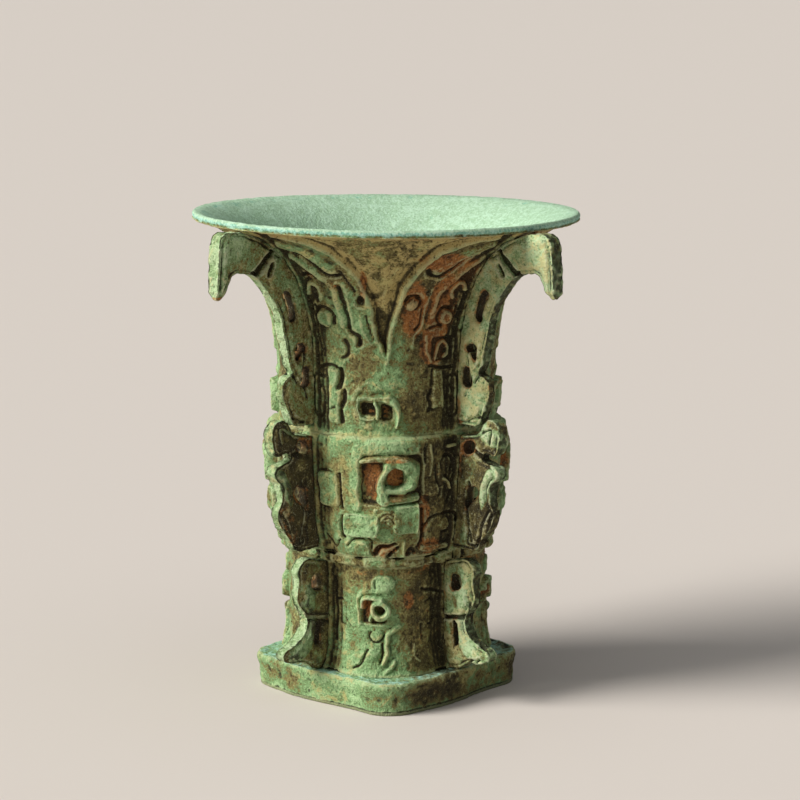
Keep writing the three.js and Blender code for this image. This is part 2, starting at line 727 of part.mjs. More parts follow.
const flanges = { neck: neckFlange(), belly: bellyFlange(), foot: footFlange() };
const horns = {
  neck: hornPair(neck, NECK_CORNER, BELLY_TOP, NECK_HORN),
  belly: hornPair(belly, BELLY_CORNER, FLOOR_TOP, BELLY_HORN),
  foot: hornPair(foot, FOOT_CORNER, PLINTH_TOP, FOOT_HORN),
};
const snout = snoutPair();

const raised = ({ height }) => height > 0;
const cut = ({ height }) => height < 0;
const onBelly = (band) => reliefBand(belly, band, 1);
const onBothSides = (band) => [reliefBand(neck, band, 1), reliefBand(neck, band, -1)];

addPiece("plinth_ring", plinthSolid(), BRONZE.body);
addPiece(
  "foot_shell",
  footSolid().subtract(atFaces([flanges.foot.cutter])).subtract(atCorners([horns.foot.cutter])),
  BRONZE.body,
);
addPiece("cup_floor", floorSolid(), BRONZE.floor);
addPiece(
  "belly_shell",
  bellySolid()
    .add(atCorners(BELLY_RELIEF.filter(raised).map(onBelly)))
    .subtract(atCorners(BELLY_RELIEF.filter(cut).map(onBelly)))
    .subtract(atFaces([flanges.belly.cutter]))
    .subtract(atCorners([horns.belly.cutter, snout.cutter])),
  BRONZE.body,
);
addPiece(
  "trumpet_neck",
  neckSolid()
    .subtract(atCorners([bladeCutter()]))
    .add(atCorners([bladeBorder(1), bladeBorder(-1), ...NECK_RELIEF.flatMap(onBothSides)]))
    .subtract(atFaces([flanges.neck.cutter]))
    .subtract(atCorners([horns.neck.cutter])),
  BRONZE.mouth,
);

for (const [register, { flange }] of Object.entries(flanges)) {
  SIDES.forEach((side, i) => addPiece(`${register}_flange_${side}`, turned(flange, i - 1), BRONZE.flange));
}
CORNERS.forEach((corner, i) => {
  for (const [register, { piece }] of Object.entries(horns)) {
    addPiece(`${register}_horn_${corner}`, turned(piece, i + 0.5), BRONZE.horn);
  }
  addPiece(`belly_snout_${corner}`, turned(snout.piece, i + 0.5), BRONZE.horn);
});

export default cup;
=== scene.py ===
"""Looks of a small archaic bronze wine cup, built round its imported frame.

The cup is cast work under a thick patina: pale green on what stands proud, rust-coloured earth in
what is sunk. Shapes are worked out in millimetres and handed to Blender in metres. A place on a
skin is given by its turn in degrees from the nearest corner and its distance up the outline.
"""

from __future__ import annotations

import logging
import math
from dataclasses import dataclass, field, replace
from enum import Enum

import bmesh
import bpy
import numpy as np
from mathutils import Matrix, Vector
from mathutils.kdtree import KDTree


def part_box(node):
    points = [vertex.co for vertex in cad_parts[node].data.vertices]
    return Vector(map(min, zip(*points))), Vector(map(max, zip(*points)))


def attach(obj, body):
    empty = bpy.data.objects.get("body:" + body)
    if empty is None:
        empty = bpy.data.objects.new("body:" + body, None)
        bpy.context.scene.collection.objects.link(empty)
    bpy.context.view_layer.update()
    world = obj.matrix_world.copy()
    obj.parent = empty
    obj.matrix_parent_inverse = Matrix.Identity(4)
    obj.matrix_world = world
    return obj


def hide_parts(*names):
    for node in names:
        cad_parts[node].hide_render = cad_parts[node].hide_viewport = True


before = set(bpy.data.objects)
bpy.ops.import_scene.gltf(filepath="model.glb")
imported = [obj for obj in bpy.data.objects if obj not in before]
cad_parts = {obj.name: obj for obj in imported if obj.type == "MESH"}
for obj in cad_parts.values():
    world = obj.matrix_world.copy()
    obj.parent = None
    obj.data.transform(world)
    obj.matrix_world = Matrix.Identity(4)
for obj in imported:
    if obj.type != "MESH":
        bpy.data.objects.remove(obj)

LOG = logging.getLogger("wine_cup")
MM = 0.001
QUARTER_TURN = math.pi / 2
EIGHTH_TURN = math.pi / 4
DEGREE = math.pi / 180
ROOT_BODY = "root"
# Degrees from a corner to the middle of a face.
HALF_FACE = 45.0
SPIGOT_WALL = 1.2
# How far from the axis the mouth's warp is full: near the hooks' tips.
WARP_REACH = 42.5
# The direction from the axis, in radians from +X, toward the window light: faces turned that way get painted
# light, and those turned away painted shade.
PAINTED_LIGHT_SIDE = -2.0
SQUARE_CENTIMETRES_IN_METRE = 10000.0
# Grains of crust on a square centimetre of deep hollow.
GRAINS = {"belly_shell": 90.0, "foot_shell": 110.0, "trumpet_neck": 55.0}

Array = np.ndarray
Colour = tuple[float, float, float]
Place = tuple[float, float]
Path = tuple[Place, ...]
Layers = dict[str, Array]
Fills = dict[str | int, object]


class Named(Enum):
    """A choice that the names of nodes end with."""

    @property
    def word(self) -> str:
        """The word that a node's name ends with."""
        return self.name.lower()


class Side(Named):
    """The four faces, by the quarter turns that bring a flange there from +X."""

    FRONT = -1
    RIGHT = 0
    BACK = 1
    LEFT = 2


class Corner(Named):
    """The four corners, by the quarter turns that bring a piece there from the first corner."""

    FRONT_RIGHT = 0
    BACK_RIGHT = 1
    BACK_LEFT = 2
    FRONT_LEFT = 3

    @property
    def heading(self) -> float:
        """The corner's angle about the axis, from +X, in radians."""
        return -EIGHTH_TURN + self.value * QUARTER_TURN


def smooth(value: Array) -> Array:
    """An S-curve from 0 to 1, flat at both ends.

    Args:
        value: Numbers that are cut off below 0 and above 1.

    Returns:
        The smoothed numbers.
    """
    held = np.clip(value, 0, 1)
    return held * held * (3 - 2 * held)


def rotated(points: Array, angle: float) -> Array:
    """Points turned about the axis of the cup.

    Args:
        points: An array of x, y and z rows.
        angle: The turn, in radians.

    Returns:
        The turned rows.
    """
    c, s = math.cos(angle), math.sin(angle)
    return points @ np.array([[c, s, 0], [-s, c, 0], [0, 0, 1]])


class Grain:
    """Smooth seeded noise in space, read from a block of random numbers that repeats."""

    CELLS = 40

    def __init__(self, seed: int) -> None:
        """Fills the block.

        Args:
            seed: The start of the random numbers.
        """
        self.block = np.random.default_rng(seed).uniform(-1, 1, (self.CELLS,) * 3)

    def at(self, points: Array, size: float) -> Array:
        """The noise at some points.

        Args:
            points: Rows of x, y and z in millimetres.
            size: How far apart the lumps are, in millimetres.

        Returns:
            One number for each point, from -1 to 1.
        """
        scaled = points / size
        low = np.floor(scaled).astype(int)
        part = smooth(scaled - low)
        total = np.zeros(len(points))
        for step in np.ndindex(2, 2, 2):
            share = np.prod(np.where(step, part, 1 - part), axis=1)
            cell = (low + step) % self.CELLS
            total += share * self.block[cell[:, 0], cell[:, 1], cell[:, 2]]
        return total

    def rough(self, points: Array, size: float, layers: int = 3) -> Array:
        """Noise with finer noise on it, each layer half the size and a little over half as strong."""
        return sum(self.at(points + 7.3 * i, size / 2**i) * 0.55**i for i in range(layers))


CASTING = Grain(11)
STAIN = Grain(29)


def section_radius(face: Array, corner: Array, turn: Array) -> Array:
    """Radius of a rounded-square section, which is round where the two distances are equal.

    Args:
        face: Distance from the axis to the middle of a face.
        corner: Distance from the axis to the rounded corner.
        turn: Angle from the nearest corner, in radians.

    Returns:
        The radius in that direction.
    """
    off_face = EIGHTH_TURN - np.abs(turn)
    rounding = (face * math.sqrt(2) - corner) / (math.sqrt(2) - 1)
    flat = face - rounding
    centre = flat * math.sqrt(2)
    reach = np.sqrt(np.maximum(rounding**2 - (centre * np.sin(turn)) ** 2, 0))
    curved = centre * np.cos(turn) + reach
    return np.where(face * np.tan(off_face) <= flat, face / np.cos(off_face), curved)


def nearest_turn(angle: Array) -> Array:
    """The angle from the nearest corner, anticlockwise positive seen from above, in radians."""
    shifted = angle - EIGHTH_TURN
    return shifted - QUARTER_TURN * np.round(shifted / QUARTER_TURN)


def resampled(stations: Array, count: int) -> Array:
    """An outline with evenly spaced stations.

    Args:
        stations: Rows of face distance, corner distance and height.
        count: How many rows to give back.

    Returns:
        The new rows, from the first station to the last.
    """
    length = outline_length(stations)
    wanted = np.linspace(0, length[-1], count)
    return np.stack([np.interp(wanted, length, stations[:, i]) for i in range(3)], axis=1)


def outline_length(stations: Array) -> Array:
    """Distance up an outline from its first station, at each station."""
    steps = np.hypot(np.diff(stations[:, 0]), np.diff(stations[:, 2]))
    return np.concatenate([[0], np.cumsum(steps)])


def offset_rows(face: float, corner: float, rows: list[Place]) -> Array:
    """Outline rows that lie some way outside a section.

    Args:
        face: The section's face distance.
        corner: Its corner distance.
        rows: How far out each row lies, and its height.

    Returns:
        Rows of face distance, corner distance and height.
    """
    return np.array([[face + out, corner + out, z] for out, z in rows])


def spigot(face: float, corner: float, seat: float, depth: float) -> Array:
    """Outline rows of the ring that enters the piece below: down its inside, then up its outside.

    Args:
        face: The face distance of its outside.
        corner: The corner distance of its outside.
        seat: The height of the seat.
        depth: How deep it goes below the seat.

    Returns:
        Rows of face distance, corner distance and height.
    """
    inner, outer, low = [face - SPIGOT_WALL, corner - SPIGOT_WALL], [face, corner], seat - depth
    return np.array([[*inner, seat + SPIGOT_WALL], [*inner, low], [*outer, low], [*outer, seat]])


def curved(points: Path, pieces: int = 4) -> Array:
    """A smooth line through some points.

    Args:
        points: The places that the line passes through.
        pieces: How many steps there are from one place to the next.

    Returns:
        The line's places, close together.
    """
    p = np.array(points, float)
    if len(p) < 3:
        return p
    padded = np.vstack([2 * p[0] - p[1], p, 2 * p[-1] - p[-2]])
    line = []
    for i in range(1, len(padded) - 2):
        a, b, c, d = padded[i - 1 : i + 3]
        for step in range(pieces):
            t = step / pieces
            start = 2 * b + (c - a) * t
            line.append(0.5 * (start + (2 * a - 5 * b + 4 * c - d) * t**2 + (3 * b - a - 3 * c + d) * t**3))
    line.append(p[-1])
    return np.array(line)


def arc(centre: Place, radii: Place, start: float, sweep: float) -> Path:
    """Places on an arc, as a mark's points.

    Args:
        centre: The arc's centre, in degrees and millimetres.
        radii: Its half width in degrees and half height in millimetres.
        start: Where it starts, in degrees, anticlockwise from the right.
        sweep: How far it goes round.

    Returns:
        The places.
    """
    steps = max(3, int(abs(sweep) / 40) + 1)
    angles = [(start + sweep * i / steps) * DEGREE for i in range(steps + 1)]
    return tuple((centre[0] + radii[0] * math.cos(a), centre[1] + radii[1] * math.sin(a)) for a in angles)


@dataclass(frozen=True)
class Canvas:
    """The vertices of a skin, unrolled.

    Attributes:
        turn: Degrees from the corner, positive to the right.
        up: Millimetres up the outline.
        per_degree: Millimetres round the section in one degree, at each vertex.
    """

    turn: Array
    up: Array
    per_degree: Array

    def from_flange(self) -> Array:
        """Millimetres from each vertex to the middle of the nearest face."""
        return (HALF_FACE - np.abs(self.turn)) * self.per_degree

    def swayed(self, points: Array, sway: float) -> "Canvas":
        """The same vertices with their places stirred, as the hand that cut the model strayed.

        Args:
            points: The vertices in space, in millimetres.
            sway: How far lines stray, in millimetres.

        Returns:
            The stirred canvas.
        """
        across = sway * CASTING.rough(points + 31.7, 2.9, 2)
        along = sway * CASTING.rough(points - 18.9, 2.9, 2)
        return Canvas(self.turn + across / self.per_degree, self.up + along, self.per_degree)


@dataclass(frozen=True)
class Mark:
    """A line on a skin that stands proud or is cut in.

    Attributes:
        points: The places that it follows.
        width: Its width in millimetres.
        height: How high it stands, or how deep it is cut when below 0.
        end: Its width at the last place, as a share.
        soft: How wide its slopes are, in millimetres.
    """

    points: Path
    width: float
    height: float
    end: float = 1.0
    soft: float = 0.46

    def cover(self, canvas: Canvas) -> Array:
        """How far each vertex lies in the mark.

        Args:
            canvas: The vertices.

        Returns:
            One share for each, from 0 outside to 1 inside.
        """
        line = curved(self.points)
        reach = self.width + self.soft
        near = canvas.turn > line[:, 0].min() - 3 * reach
        near &= canvas.turn < line[:, 0].max() + 3 * reach
        near &= (canvas.up > line[:, 1].min() - reach) & (canvas.up < line[:, 1].max() + reach)
        inside = np.zeros(len(canvas.turn))
        if not near.any():
            return inside
        turn, up, scale = canvas.turn[near], canvas.up[near], canvas.per_degree[near]
        best = np.full(near.sum(), -1e9)
        count = len(line) - 1
        for i in range(count):
            ax, ay = (line[i, 0] - turn) * scale, line[i, 1] - up
            bx, by = (line[i + 1, 0] - turn) * scale, line[i + 1, 1] - up
            dx, dy = bx - ax, by - ay
            along = np.clip(-(ax * dx + ay * dy) / np.maximum(dx * dx + dy * dy, 1e-9), 0, 1)
            away = np.hypot(ax + along * dx, ay + along * dy)
            half = self.width / 2 * (1 + (self.end - 1) * (i + along) / count)
            best = np.maximum(best, half - away)
        inside[near] = smooth(best / self.soft + 0.5)
        return inside


@dataclass(frozen=True)
class Pad:
    """A rounded block on a skin, or a sunk field when its height is below 0.

    Attributes:
        centre: Its middle, in degrees and millimetres.
        half: Its half width and half height, both in millimetres.
        height: How high it stands.
        rounding: The radius of its corners in millimetres.
        lean: How far its top leans to the right for each millimetre up.
        soft: How wide its slopes are, in millimetres.
    """

    centre: Place
    half: Place
    height: float
    rounding: float = 0.5
    lean: float = 0.0
    soft: float = 0.34

    def cover(self, canvas: Canvas) -> Array:
        """How far each vertex lies in the block.

        Args:
            canvas: The vertices.

        Returns:
            One share for each, from 0 outside to 1 inside.
        """
        y = canvas.up - self.centre[1]
        x = (canvas.turn - self.centre[0]) * canvas.per_degree - self.lean * y
        qx = np.abs(x) - self.half[0] + self.rounding
        qy = np.abs(y) - self.half[1] + self.rounding
        outside = np.hypot(np.maximum(qx, 0), np.maximum(qy, 0)) + np.minimum(np.maximum(qx, qy), 0)
        return smooth((self.rounding - outside) / self.soft + 0.5)


@dataclass(frozen=True)
class Boss:
    """A round dome, or a round pit when its height is below 0."""

    centre: Place
    radius: float
    height: float

    def cover(self, canvas: Canvas) -> Array:
        """The dome's height as a share, at each vertex."""
        x = (canvas.turn - self.centre[0]) * canvas.per_degree
        away = np.hypot(x, canvas.up - self.centre[1]) / self.radius
        return np.sqrt(np.maximum(1 - away**2, 0))


Feature = Mark | Pad | Boss


def carve(features: tuple[Feature, ...], canvas: Canvas, ground: Array) -> Array:
    """Cuts features into a ground, in their order.

    Args:
        features: What stands proud sets its own level, and what is cut in goes down from there.
        canvas: The vertices.
        ground: Their heights before, in millimetres.

    Returns:
        Their heights after.
    """
    height = ground.copy()
    for feature in features:
        cover = feature.cover(canvas)
        if feature.height > 0 and not isinstance(feature, Boss):
            height += (np.maximum(feature.height, height) - height) * cover
        else:
            height += feature.height * cover
    return height


@dataclass(frozen=True)
class Patch:
    """A soft-edged spot of staining.

    Attributes:
        centre: Its middle, in degrees and millimetres.
        half: Its half width in degrees and half height in millimetres.
        strength: Its strength in the middle.
    """

    centre: Place
    half: Place
    strength: float = 1.0


def stained(patches: tuple[Patch, ...], canvas: Canvas) -> Array:
    """The strongest staining at each vertex.

    Args:
        patches: The spots.
        canvas: The vertices.

    Returns:
        One strength for each.
    """
    total = np.zeros(len(canvas.turn))
    for patch in patches:
        x = (canvas.turn - patch.centre[0]) / patch.half[0]
        y = (canvas.up - patch.centre[1]) / patch.half[1]
        total = np.maximum(total, patch.strength * smooth(1.6 - np.hypot(x, y)))
    return total


def linear(colour: str) -> tuple[float, float, float, float]:
    """A colour written as six hexadecimal digits, as linear red, green, blue and alpha."""
    parts = [int(colour[i : i + 2], 16) / 255 for i in (0, 2, 4)]
    return tuple(p / 12.92 if p <= 0.04045 else ((p + 0.055) / 1.055) ** 2.4 for p in parts) + (1.0,)


class NodeTree:
    """Adds nodes to a tree and fills their inputs."""

    def __init__(self, tree: bpy.types.NodeTree) -> None:
        """Holds the tree."""
        self.tree = tree

    def fill(self, slot: bpy.types.NodeSocket, value: object) -> None:
        """Fills one input.

        Args:
            slot: The input.
            value: A number of the tree or a socket, which is linked, or else a plain value.
        """
        source = value.socket if isinstance(value, Number) else value
        if isinstance(source, bpy.types.NodeSocket):
            self.tree.links.new(source, slot)
        else:
            slot.default_value = source

    def node(self, kind: str, fills: Fills | None = None, **settings: object) -> bpy.types.Node:
        """Adds a node.

        Args:
            kind: Its kind.
            fills: What fills its inputs, by their names or numbers.
            settings: Its properties.

        Returns:
            The node.
        """
        made = self.tree.nodes.new(kind)
        for name, value in settings.items():
            setattr(made, name, value)
        for label, value in (fills or {}).items():
            self.fill(made.inputs[label], value)
        return made

    def number(self, output: str | int, kind: str, fills: Fills | None = None, **settings: object) -> Number:
        """Adds a node and gives one of its outputs as a number."""
        return Number(self, self.node(kind, fills, **settings).outputs[output])


class Number:
    """A number in a node tree, which can be reckoned with like a plain one."""

    def __init__(self, tree: NodeTree, socket: bpy.types.NodeSocket) -> None:
        """Holds the socket that gives the number."""
        self.tree = tree
        self.socket = socket

    def put(self, operation: str, *others: "Number | float") -> "Number":
        """The result of a Math node, whose first input is this number."""
        return self.tree.number(0, "ShaderNodeMath", dict(enumerate((self, *others))), operation=operation)

    def __add__(self, other: "Number | float") -> "Number":
        """The sum."""
        return self.put("ADD", other)

    def __sub__(self, other: "Number | float") -> "Number":
        """The difference."""
        return self.put("SUBTRACT", other)

    def __mul__(self, other: "Number | float") -> "Number":
        """The product."""
        return self.put("MULTIPLY", other)

    def __truediv__(self, other: "Number | float") -> "Number":
        """The quotient."""
        return self.put("DIVIDE", other)

    def ramp(self, low: float, high: float) -> "Number":
        """A smooth step from 0 at one value to 1 at the other."""
        fills = {"Value": self, "From Min": low, "From Max": high}
        return self.tree.number("Result", "ShaderNodeMapRange", fills, interpolation_type="SMOOTHSTEP")


@dataclass(frozen=True)
class Patina:
    """A weathered bronze finish.

    Attributes:
        name: The material's name.
        cover: How far the green powder covers the earthy ground, from 0 to 1.
        soil: How much rust-coloured earth there is besides what the piece itself asks for.
        roughness: The middle roughness.
        grit: Height of the fine roughness, in millimetres.
        layers: Colours from the bare ground up to the thickest powder, each with its share of cover.
        rust: The darker and the lighter colour of the earth in what is sunk.
        dirt: The dark colour of dirt in pits, and of dirt and painted shade in creases and hollows.
        rubbed: The pale colour on edges.
        straw: The yellowish crust that lies over the powder in broad patches.
        mint: The darker and the lighter colour of the mouth's smooth bloom.
    """

    name: str
    cover: float = 0.5
    soil: float = 0.0
    roughness: float = 0.8
    grit: float = 0.26
    layers: tuple[tuple[float, str], ...] = (
        (0.0, "443c22"), (0.2, "5c532f"), (0.36, "776d40"), (0.47, "80804c"),
        (0.57, "6f8657"), (0.76, "7ea06b"), (1.0, "9fbe89"),
    )
    rust: tuple[str, str] = ("784b28", "ad7139")
    dirt: str = "211c0e"
    rubbed: str = "bcc494"
    straw: str = "ada065"
    mint: tuple[str, str] = ("7cb29c", "acd9c9")

    def material(self) -> bpy.types.Material:
        """Builds the material, or gives it back if it is there already."""
        made = bpy.data.materials.get(self.name)
        return made or PatinaTree(self).material


class PatinaTree(NodeTree):
    """Builds the nodes of a patina."""

    def __init__(self, patina: Patina) -> None:
        """Makes the material.

        Args:
            patina: The finish to build.
        """
        self.material = bpy.data.materials.new(patina.name)
        self.material.use_nodes = True
        super().__init__(self.material.node_tree)
        self.tree.nodes.clear()
        self.coordinates = self.node("ShaderNodeTexCoord").outputs["Object"]
        self.build(patina)

    def attribute(self, name: str) -> Number:
        """A number that a mesh carries at each vertex."""
        return self.number("Fac", "ShaderNodeAttribute", attribute_name=name)

    def noise(self, size: float, detail: float = 3, distortion: float = 0) -> Number:
        """Cloudy noise, from about -0.5 to 0.5.

        Args:
            size: The size of its lumps in millimetres.
            detail: How many finer layers it has.
            distortion: How far it is stirred.

        Returns:
            The noise.
        """
        fills = {"Vector": self.coordinates, "Scale": 1 / (size * MM), "Roughness": 0.6}
        fills |= {"Detail": detail, "Distortion": distortion}
        return self.number("Fac", "ShaderNodeTexNoise", fills) - 0.5

    def mixed(self, share: Number, under: object, over: object) -> bpy.types.NodeSocket:
        """One colour over another.

        Args:
            share: How much of the upper colour shows.
            under: The lower colour, six digits or a socket.
            over: The upper colour, six digits or a socket.

        Returns:
            The mixed colour.
        """
        node = self.node("ShaderNodeMix", {"Factor": share}, data_type="RGBA")
        for label, value in (("A", under), ("B", over)):
            slot = next(s for s in node.inputs if s.name == label and s.type == "RGBA")
            self.fill(slot, linear(value) if isinstance(value, str) else value)
        return next(s for s in node.outputs if s.type == "RGBA")

    def layered(self, cover: Number, layers: tuple[tuple[float, str], ...]) -> bpy.types.NodeSocket:
        """Colours that follow each other as the cover grows.

        Args:
            cover: How thick the powder lies, from 0 to 1.
            layers: Each colour with its share of cover, in rising order.

        Returns:
            The colour.
        """
        node = self.node("ShaderNodeValToRGB", {"Fac": cover})
        stops = node.color_ramp.elements
        while len(stops) < len(layers):
            stops.new(1.0)
        for stop, (share, colour) in zip(stops, layers):
            stop.position = share
            stop.color = linear(colour)
        return node.outputs["Color"]

    def build(self, patina: Patina) -> None:
        """Lays the colours over each other and adds the fine roughness.

        Args:
            patina: The finish to build.
        """
        names = ("hollow", "basin", "earth", "bloom", "rise", "mouth", "pit", "sand")
        hollow, basin, earth, bloom, rise, mouth, pit, sand = (self.attribute(name) for name in names)
        cloud = self.noise(8, 2, 0.5)
        patch = self.noise(2.6, 3, 0.7)
        mottle = self.noise(0.95, 3, 0.4)
        speck = self.noise(0.4, 2)
        grain = self.noise(0.21, 1)
        streak = self.noise(4.6, 3, 1.6)
        # Green powder, thicker on what stands proud.
        cover = cloud * 1.1 + patch * 0.95 + mottle * 0.7 + speck * 0.85 + patina.cover
        cover = cover + rise * 0.1 - basin * 0.16 + bloom * 0.3 - earth * 0.3
        colour = self.layered(cover, patina.layers)
        # Yellowish crust in streaks.
        crust = streak * 1.4 + mottle * 0.5 + speck * 0.5 + rise * 0.05 - hollow * 0.1 + sand * 0.45
        colour = self.mixed(crust.ramp(0.08, 0.42) * 0.76, colour, patina.straw)
        # Rust-coloured earth in what is sunk.
        soil = earth * 0.9 + patch * 0.8 + mottle * 0.6 + speck * 0.3 + basin * 0.08 + patina.soil
        rust = self.mixed((patch * 0.8 + mottle * 0.8 + speck * 0.5).ramp(-0.2, 0.2), *patina.rust)
        colour = self.mixed(soil.ramp(0.46, 0.74) * 0.88, colour, rust)
        # The mouth's smooth bloom.
        bright = self.mixed((speck + mottle * 0.8 + patch * 0.5).ramp(-0.16, 0.2), *patina.mint)
        smooth_bloom = mouth + mottle * 0.7 + patch * 0.5
        colour = self.mixed(smooth_bloom.ramp(0.25, 0.6), colour, bright)
        # Dirt and painted shade in creases, in hollows and in each piece's own darkening layer, then dirt in
        # fine pits.
        shade = hollow * 0.76 + basin * 0.48 + mottle * 0.6 + speck * 0.6 + pit * 1.1 - sand * 0.42
        colour = self.mixed(shade.ramp(0.3, 1.15) * 0.85, colour, patina.dirt)
        pits = speck * 0.7 + grain * 0.5 + mottle * 0.25
        calm = mouth * -0.6 + 1.0
        colour = self.mixed(pits.ramp(-0.09, -0.2) * calm * 0.62, colour, patina.dirt)
        # Rubbed edges, then pale dust.
        edge = hollow * -0.9 + speck * 1.2 + mottle * 1.1
        colour = self.mixed(edge.ramp(0.3, 1.0) * 0.4, colour, patina.rubbed)
        dust = grain * 0.8 + speck * 0.4 + rise * 0.02
        colour = self.mixed(dust.ramp(0.1, 0.2) * calm * 0.34, colour, patina.rubbed)
        # The shine and the fine roughness, calmer in the mouth.
        gloss = mottle * 0.25 + hollow * 0.06 + patina.roughness
        height = (speck * 1.1 + grain * 0.6 + mottle * 1.4) * (mouth * -0.65 + 1.0)
        bump = self.node("ShaderNodeBump", {"Distance": patina.grit * MM, "Height": height})
        fills = {"Base Color": colour, "Roughness": gloss, "Normal": bump.outputs["Normal"]}
        fills |= {"Metallic": 0.0, "Specular IOR Level": 0.3}
        shader = self.node("ShaderNodeBsdfPrincipled", fills)
        self.node("ShaderNodeOutputMaterial", {"Surface": shader.outputs["BSDF"]})


BODY_PATINA = Patina("weathered_body")
NECK_PATINA = Patina("weathered_neck", straw="c9b676")
FLANGE_PATINA = Patina(
    "weathered_flange",
    cover=0.6,
    rubbed="d4d6b4",
    straw="bfb47c",
    layers=(*Patina.layers[:4], (0.57, "788d5e"), (0.76, "8aa673"), (1.0, "adc396")),
)
HORN_PATINA = Patina("weathered_horn", cover=0.6, rubbed="c2cba0")
EARTH_PATINA = Patina("weathered_earth", cover=0.36, soil=0.12, roughness=0.86)


def neighbour_mean(values: Array, edges: Array, count: Array) -> Array:
    """The mean of each vertex and its neighbours.

    Args:
        values: One row for each vertex.
        edges: Pairs of vertex numbers.
        count: How many neighbours each vertex has.

    Returns:
        The averaged rows.
    """
    total = values.copy()
    for i in range(values.shape[1]):
        column = values[:, i]
        total[:, i] += np.bincount(edges[:, 0], column[edges[:, 1]], len(values))
        total[:, i] += np.bincount(edges[:, 1], column[edges[:, 0]], len(values))
    return total / (count + 1)[:, None]


def rows_of(items: bpy.types.bpy_prop_collection, name: str, width: int, kind: type = np.float32) -> Array:
    """One property of a mesh's vertices or edges.

    Args:
        items: The vertices, edges or normals.
        name: The property's name.
        width: How many numbers it has.
        kind: What kind of number it holds.

    Returns:
        One row for each of them.
    """
    flat = np.zeros(len(items) * width, kind)
    items.foreach_get(name, flat)
    return flat.reshape(-1, width)


def edge_pairs(mesh: bpy.types.Mesh) -> Array:
    """The two vertex numbers of each edge."""
    return rows_of(mesh.edges, "vertices", 2, np.int32)


def positions(mesh: bpy.types.Mesh) -> Array:
    """A mesh's vertices in millimetres."""
    return rows_of(mesh.vertices, "co", 3).astype(float) / MM


def set_positions(mesh: bpy.types.Mesh, points: Array) -> None:
    """Puts a mesh's vertices at points given in millimetres."""
    mesh.vertices.foreach_set("co", (points * MM).astype(np.float32).ravel())
    mesh.update()


def set_attribute(mesh: bpy.types.Mesh, name: str, values: Array) -> None:
    """Stores one number for each vertex.

    Args:
        mesh: The mesh.
        name: The attribute's name.
        values: The numbers.
    """
    layer = mesh.attributes.get(name) or mesh.attributes.new(name, "FLOAT", "POINT")
    layer.data.foreach_set("value", values.astype(np.float32))


def weather(mesh: bpy.types.Mesh) -> None:
    """Stores how far each vertex lies in a crease and in a wider hollow, below 0 on edges.

    Args:
        mesh: The piece's mesh.
    """
    edges = edge_pairs(mesh)
    points = positions(mesh)
    count = np.bincount(edges.ravel(), minlength=len(points)).astype(float)
    normals = rows_of(mesh.vertex_normals, "vector", 3)
    eased = points
    for name, rounds, full in (("hollow", 7, 0.15), ("basin", 26, 0.42)):
        for _ in range(rounds):
            eased = neighbour_mean(eased, edges, count)
        depth = np.einsum("ij,ij->i", eased - points, normals)
        set_attribute(mesh, name, np.clip(depth / full, -1.5, 1.5))


def placed(name: str, data: bpy.types.ID) -> bpy.types.Object:
    """A new object in the scene, at the origin.

    Args:
        name: Its name.
        data: Its mesh, lamp or camera.

    Returns:
        The object.
    """
    made = bpy.data.objects.new(name, data)
    bpy.context.scene.collection.objects.link(made)
    return made


def finished_piece(mesh: bpy.types.Mesh, finish: Patina, node: str) -> None:
    """Closes a mesh's seams, weathers it, dresses it and lets it ride on the cup.

    Args:
        mesh: The piece's mesh, which carries its layers of earth and powder at each vertex.
        finish: Its patina.
        node: The node of the frame that it stands for.
    """
    shape = bmesh.new()
    shape.from_mesh(mesh)
    bmesh.ops.remove_doubles(shape, verts=shape.verts, dist=2e-6)
    bmesh.ops.dissolve_degenerate(shape, edges=shape.edges, dist=1e-7)
    bmesh.ops.recalc_face_normals(shape, faces=shape.faces)
    for face in shape.faces:
        face.smooth = True
    shape.to_mesh(mesh)
    shape.free()
    weather(mesh)
    mesh.materials.clear()
    mesh.materials.append(finish.material())
    piece = placed(f"{node}_cast", mesh)
    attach(piece, ROOT_BODY)
    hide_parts(node)
    LOG.info("%s: %d faces", piece.name, len(mesh.polygons))


class ShapeTree(NodeTree):
    """A Geometry Nodes tree whose inputs are set by their names."""

    def __init__(self, name: str, inputs: dict[str, str]) -> None:
        """Makes the tree's inputs and its output, and has its nodes built.

        Args:
            name: The tree's name.
            inputs: The kind of socket for each input's name.
        """
        super().__init__(bpy.data.node_groups.new(name, "GeometryNodeTree"))
        self.sockets: dict[str, str] = {}
        for label, kind in {**inputs, "Finish": "Material"}.items():
            made = self.tree.interface.new_socket(label, in_out="INPUT", socket_type=f"NodeSocket{kind}")
            self.sockets[label] = made.identifier
        self.tree.interface.new_socket("Geometry", in_out="OUTPUT", socket_type="NodeSocketGeometry")
        self.given = self.node("NodeGroupInput").outputs
        self.build()

    def build(self) -> None:
        """Makes the nodes, and hands what they make to finish."""
        raise NotImplementedError

    def finish(self, shape: bpy.types.NodeSocket) -> None:
        """Makes the shape real, gives it its material and leads it out of the tree.

        Args:
            shape: The shape's socket.
        """
        real = self.node("GeometryNodeRealizeInstances", {"Geometry": shape})
        fills = {"Geometry": real.outputs["Geometry"], "Material": self.given["Finish"]}
        dressed = self.node("GeometryNodeSetMaterial", fills)
        self.node("NodeGroupOutput", {"Geometry": dressed.outputs["Geometry"]})

    def grown(self, name: str, finish: Patina, values: dict[str, object]) -> bpy.types.Mesh:
        """What the tree makes, as a plain mesh.

        Args:
            name: The mesh's name.
            finish: Its patina.
            values: What fills each of the other inputs.

        Returns:
            The mesh.
        """
        holder = placed(name + "_holder", bpy.data.meshes.new(name + "_holder"))
        modifier = holder.modifiers.new("Shape", "NODES")
        modifier.node_group = self.tree
        for label, value in {**values, "Finish": finish.material()}.items():
            modifier[self.sockets[label]] = value
        mesh = evaluated_mesh(holder, name)
        bpy.data.objects.remove(holder)
        return mesh


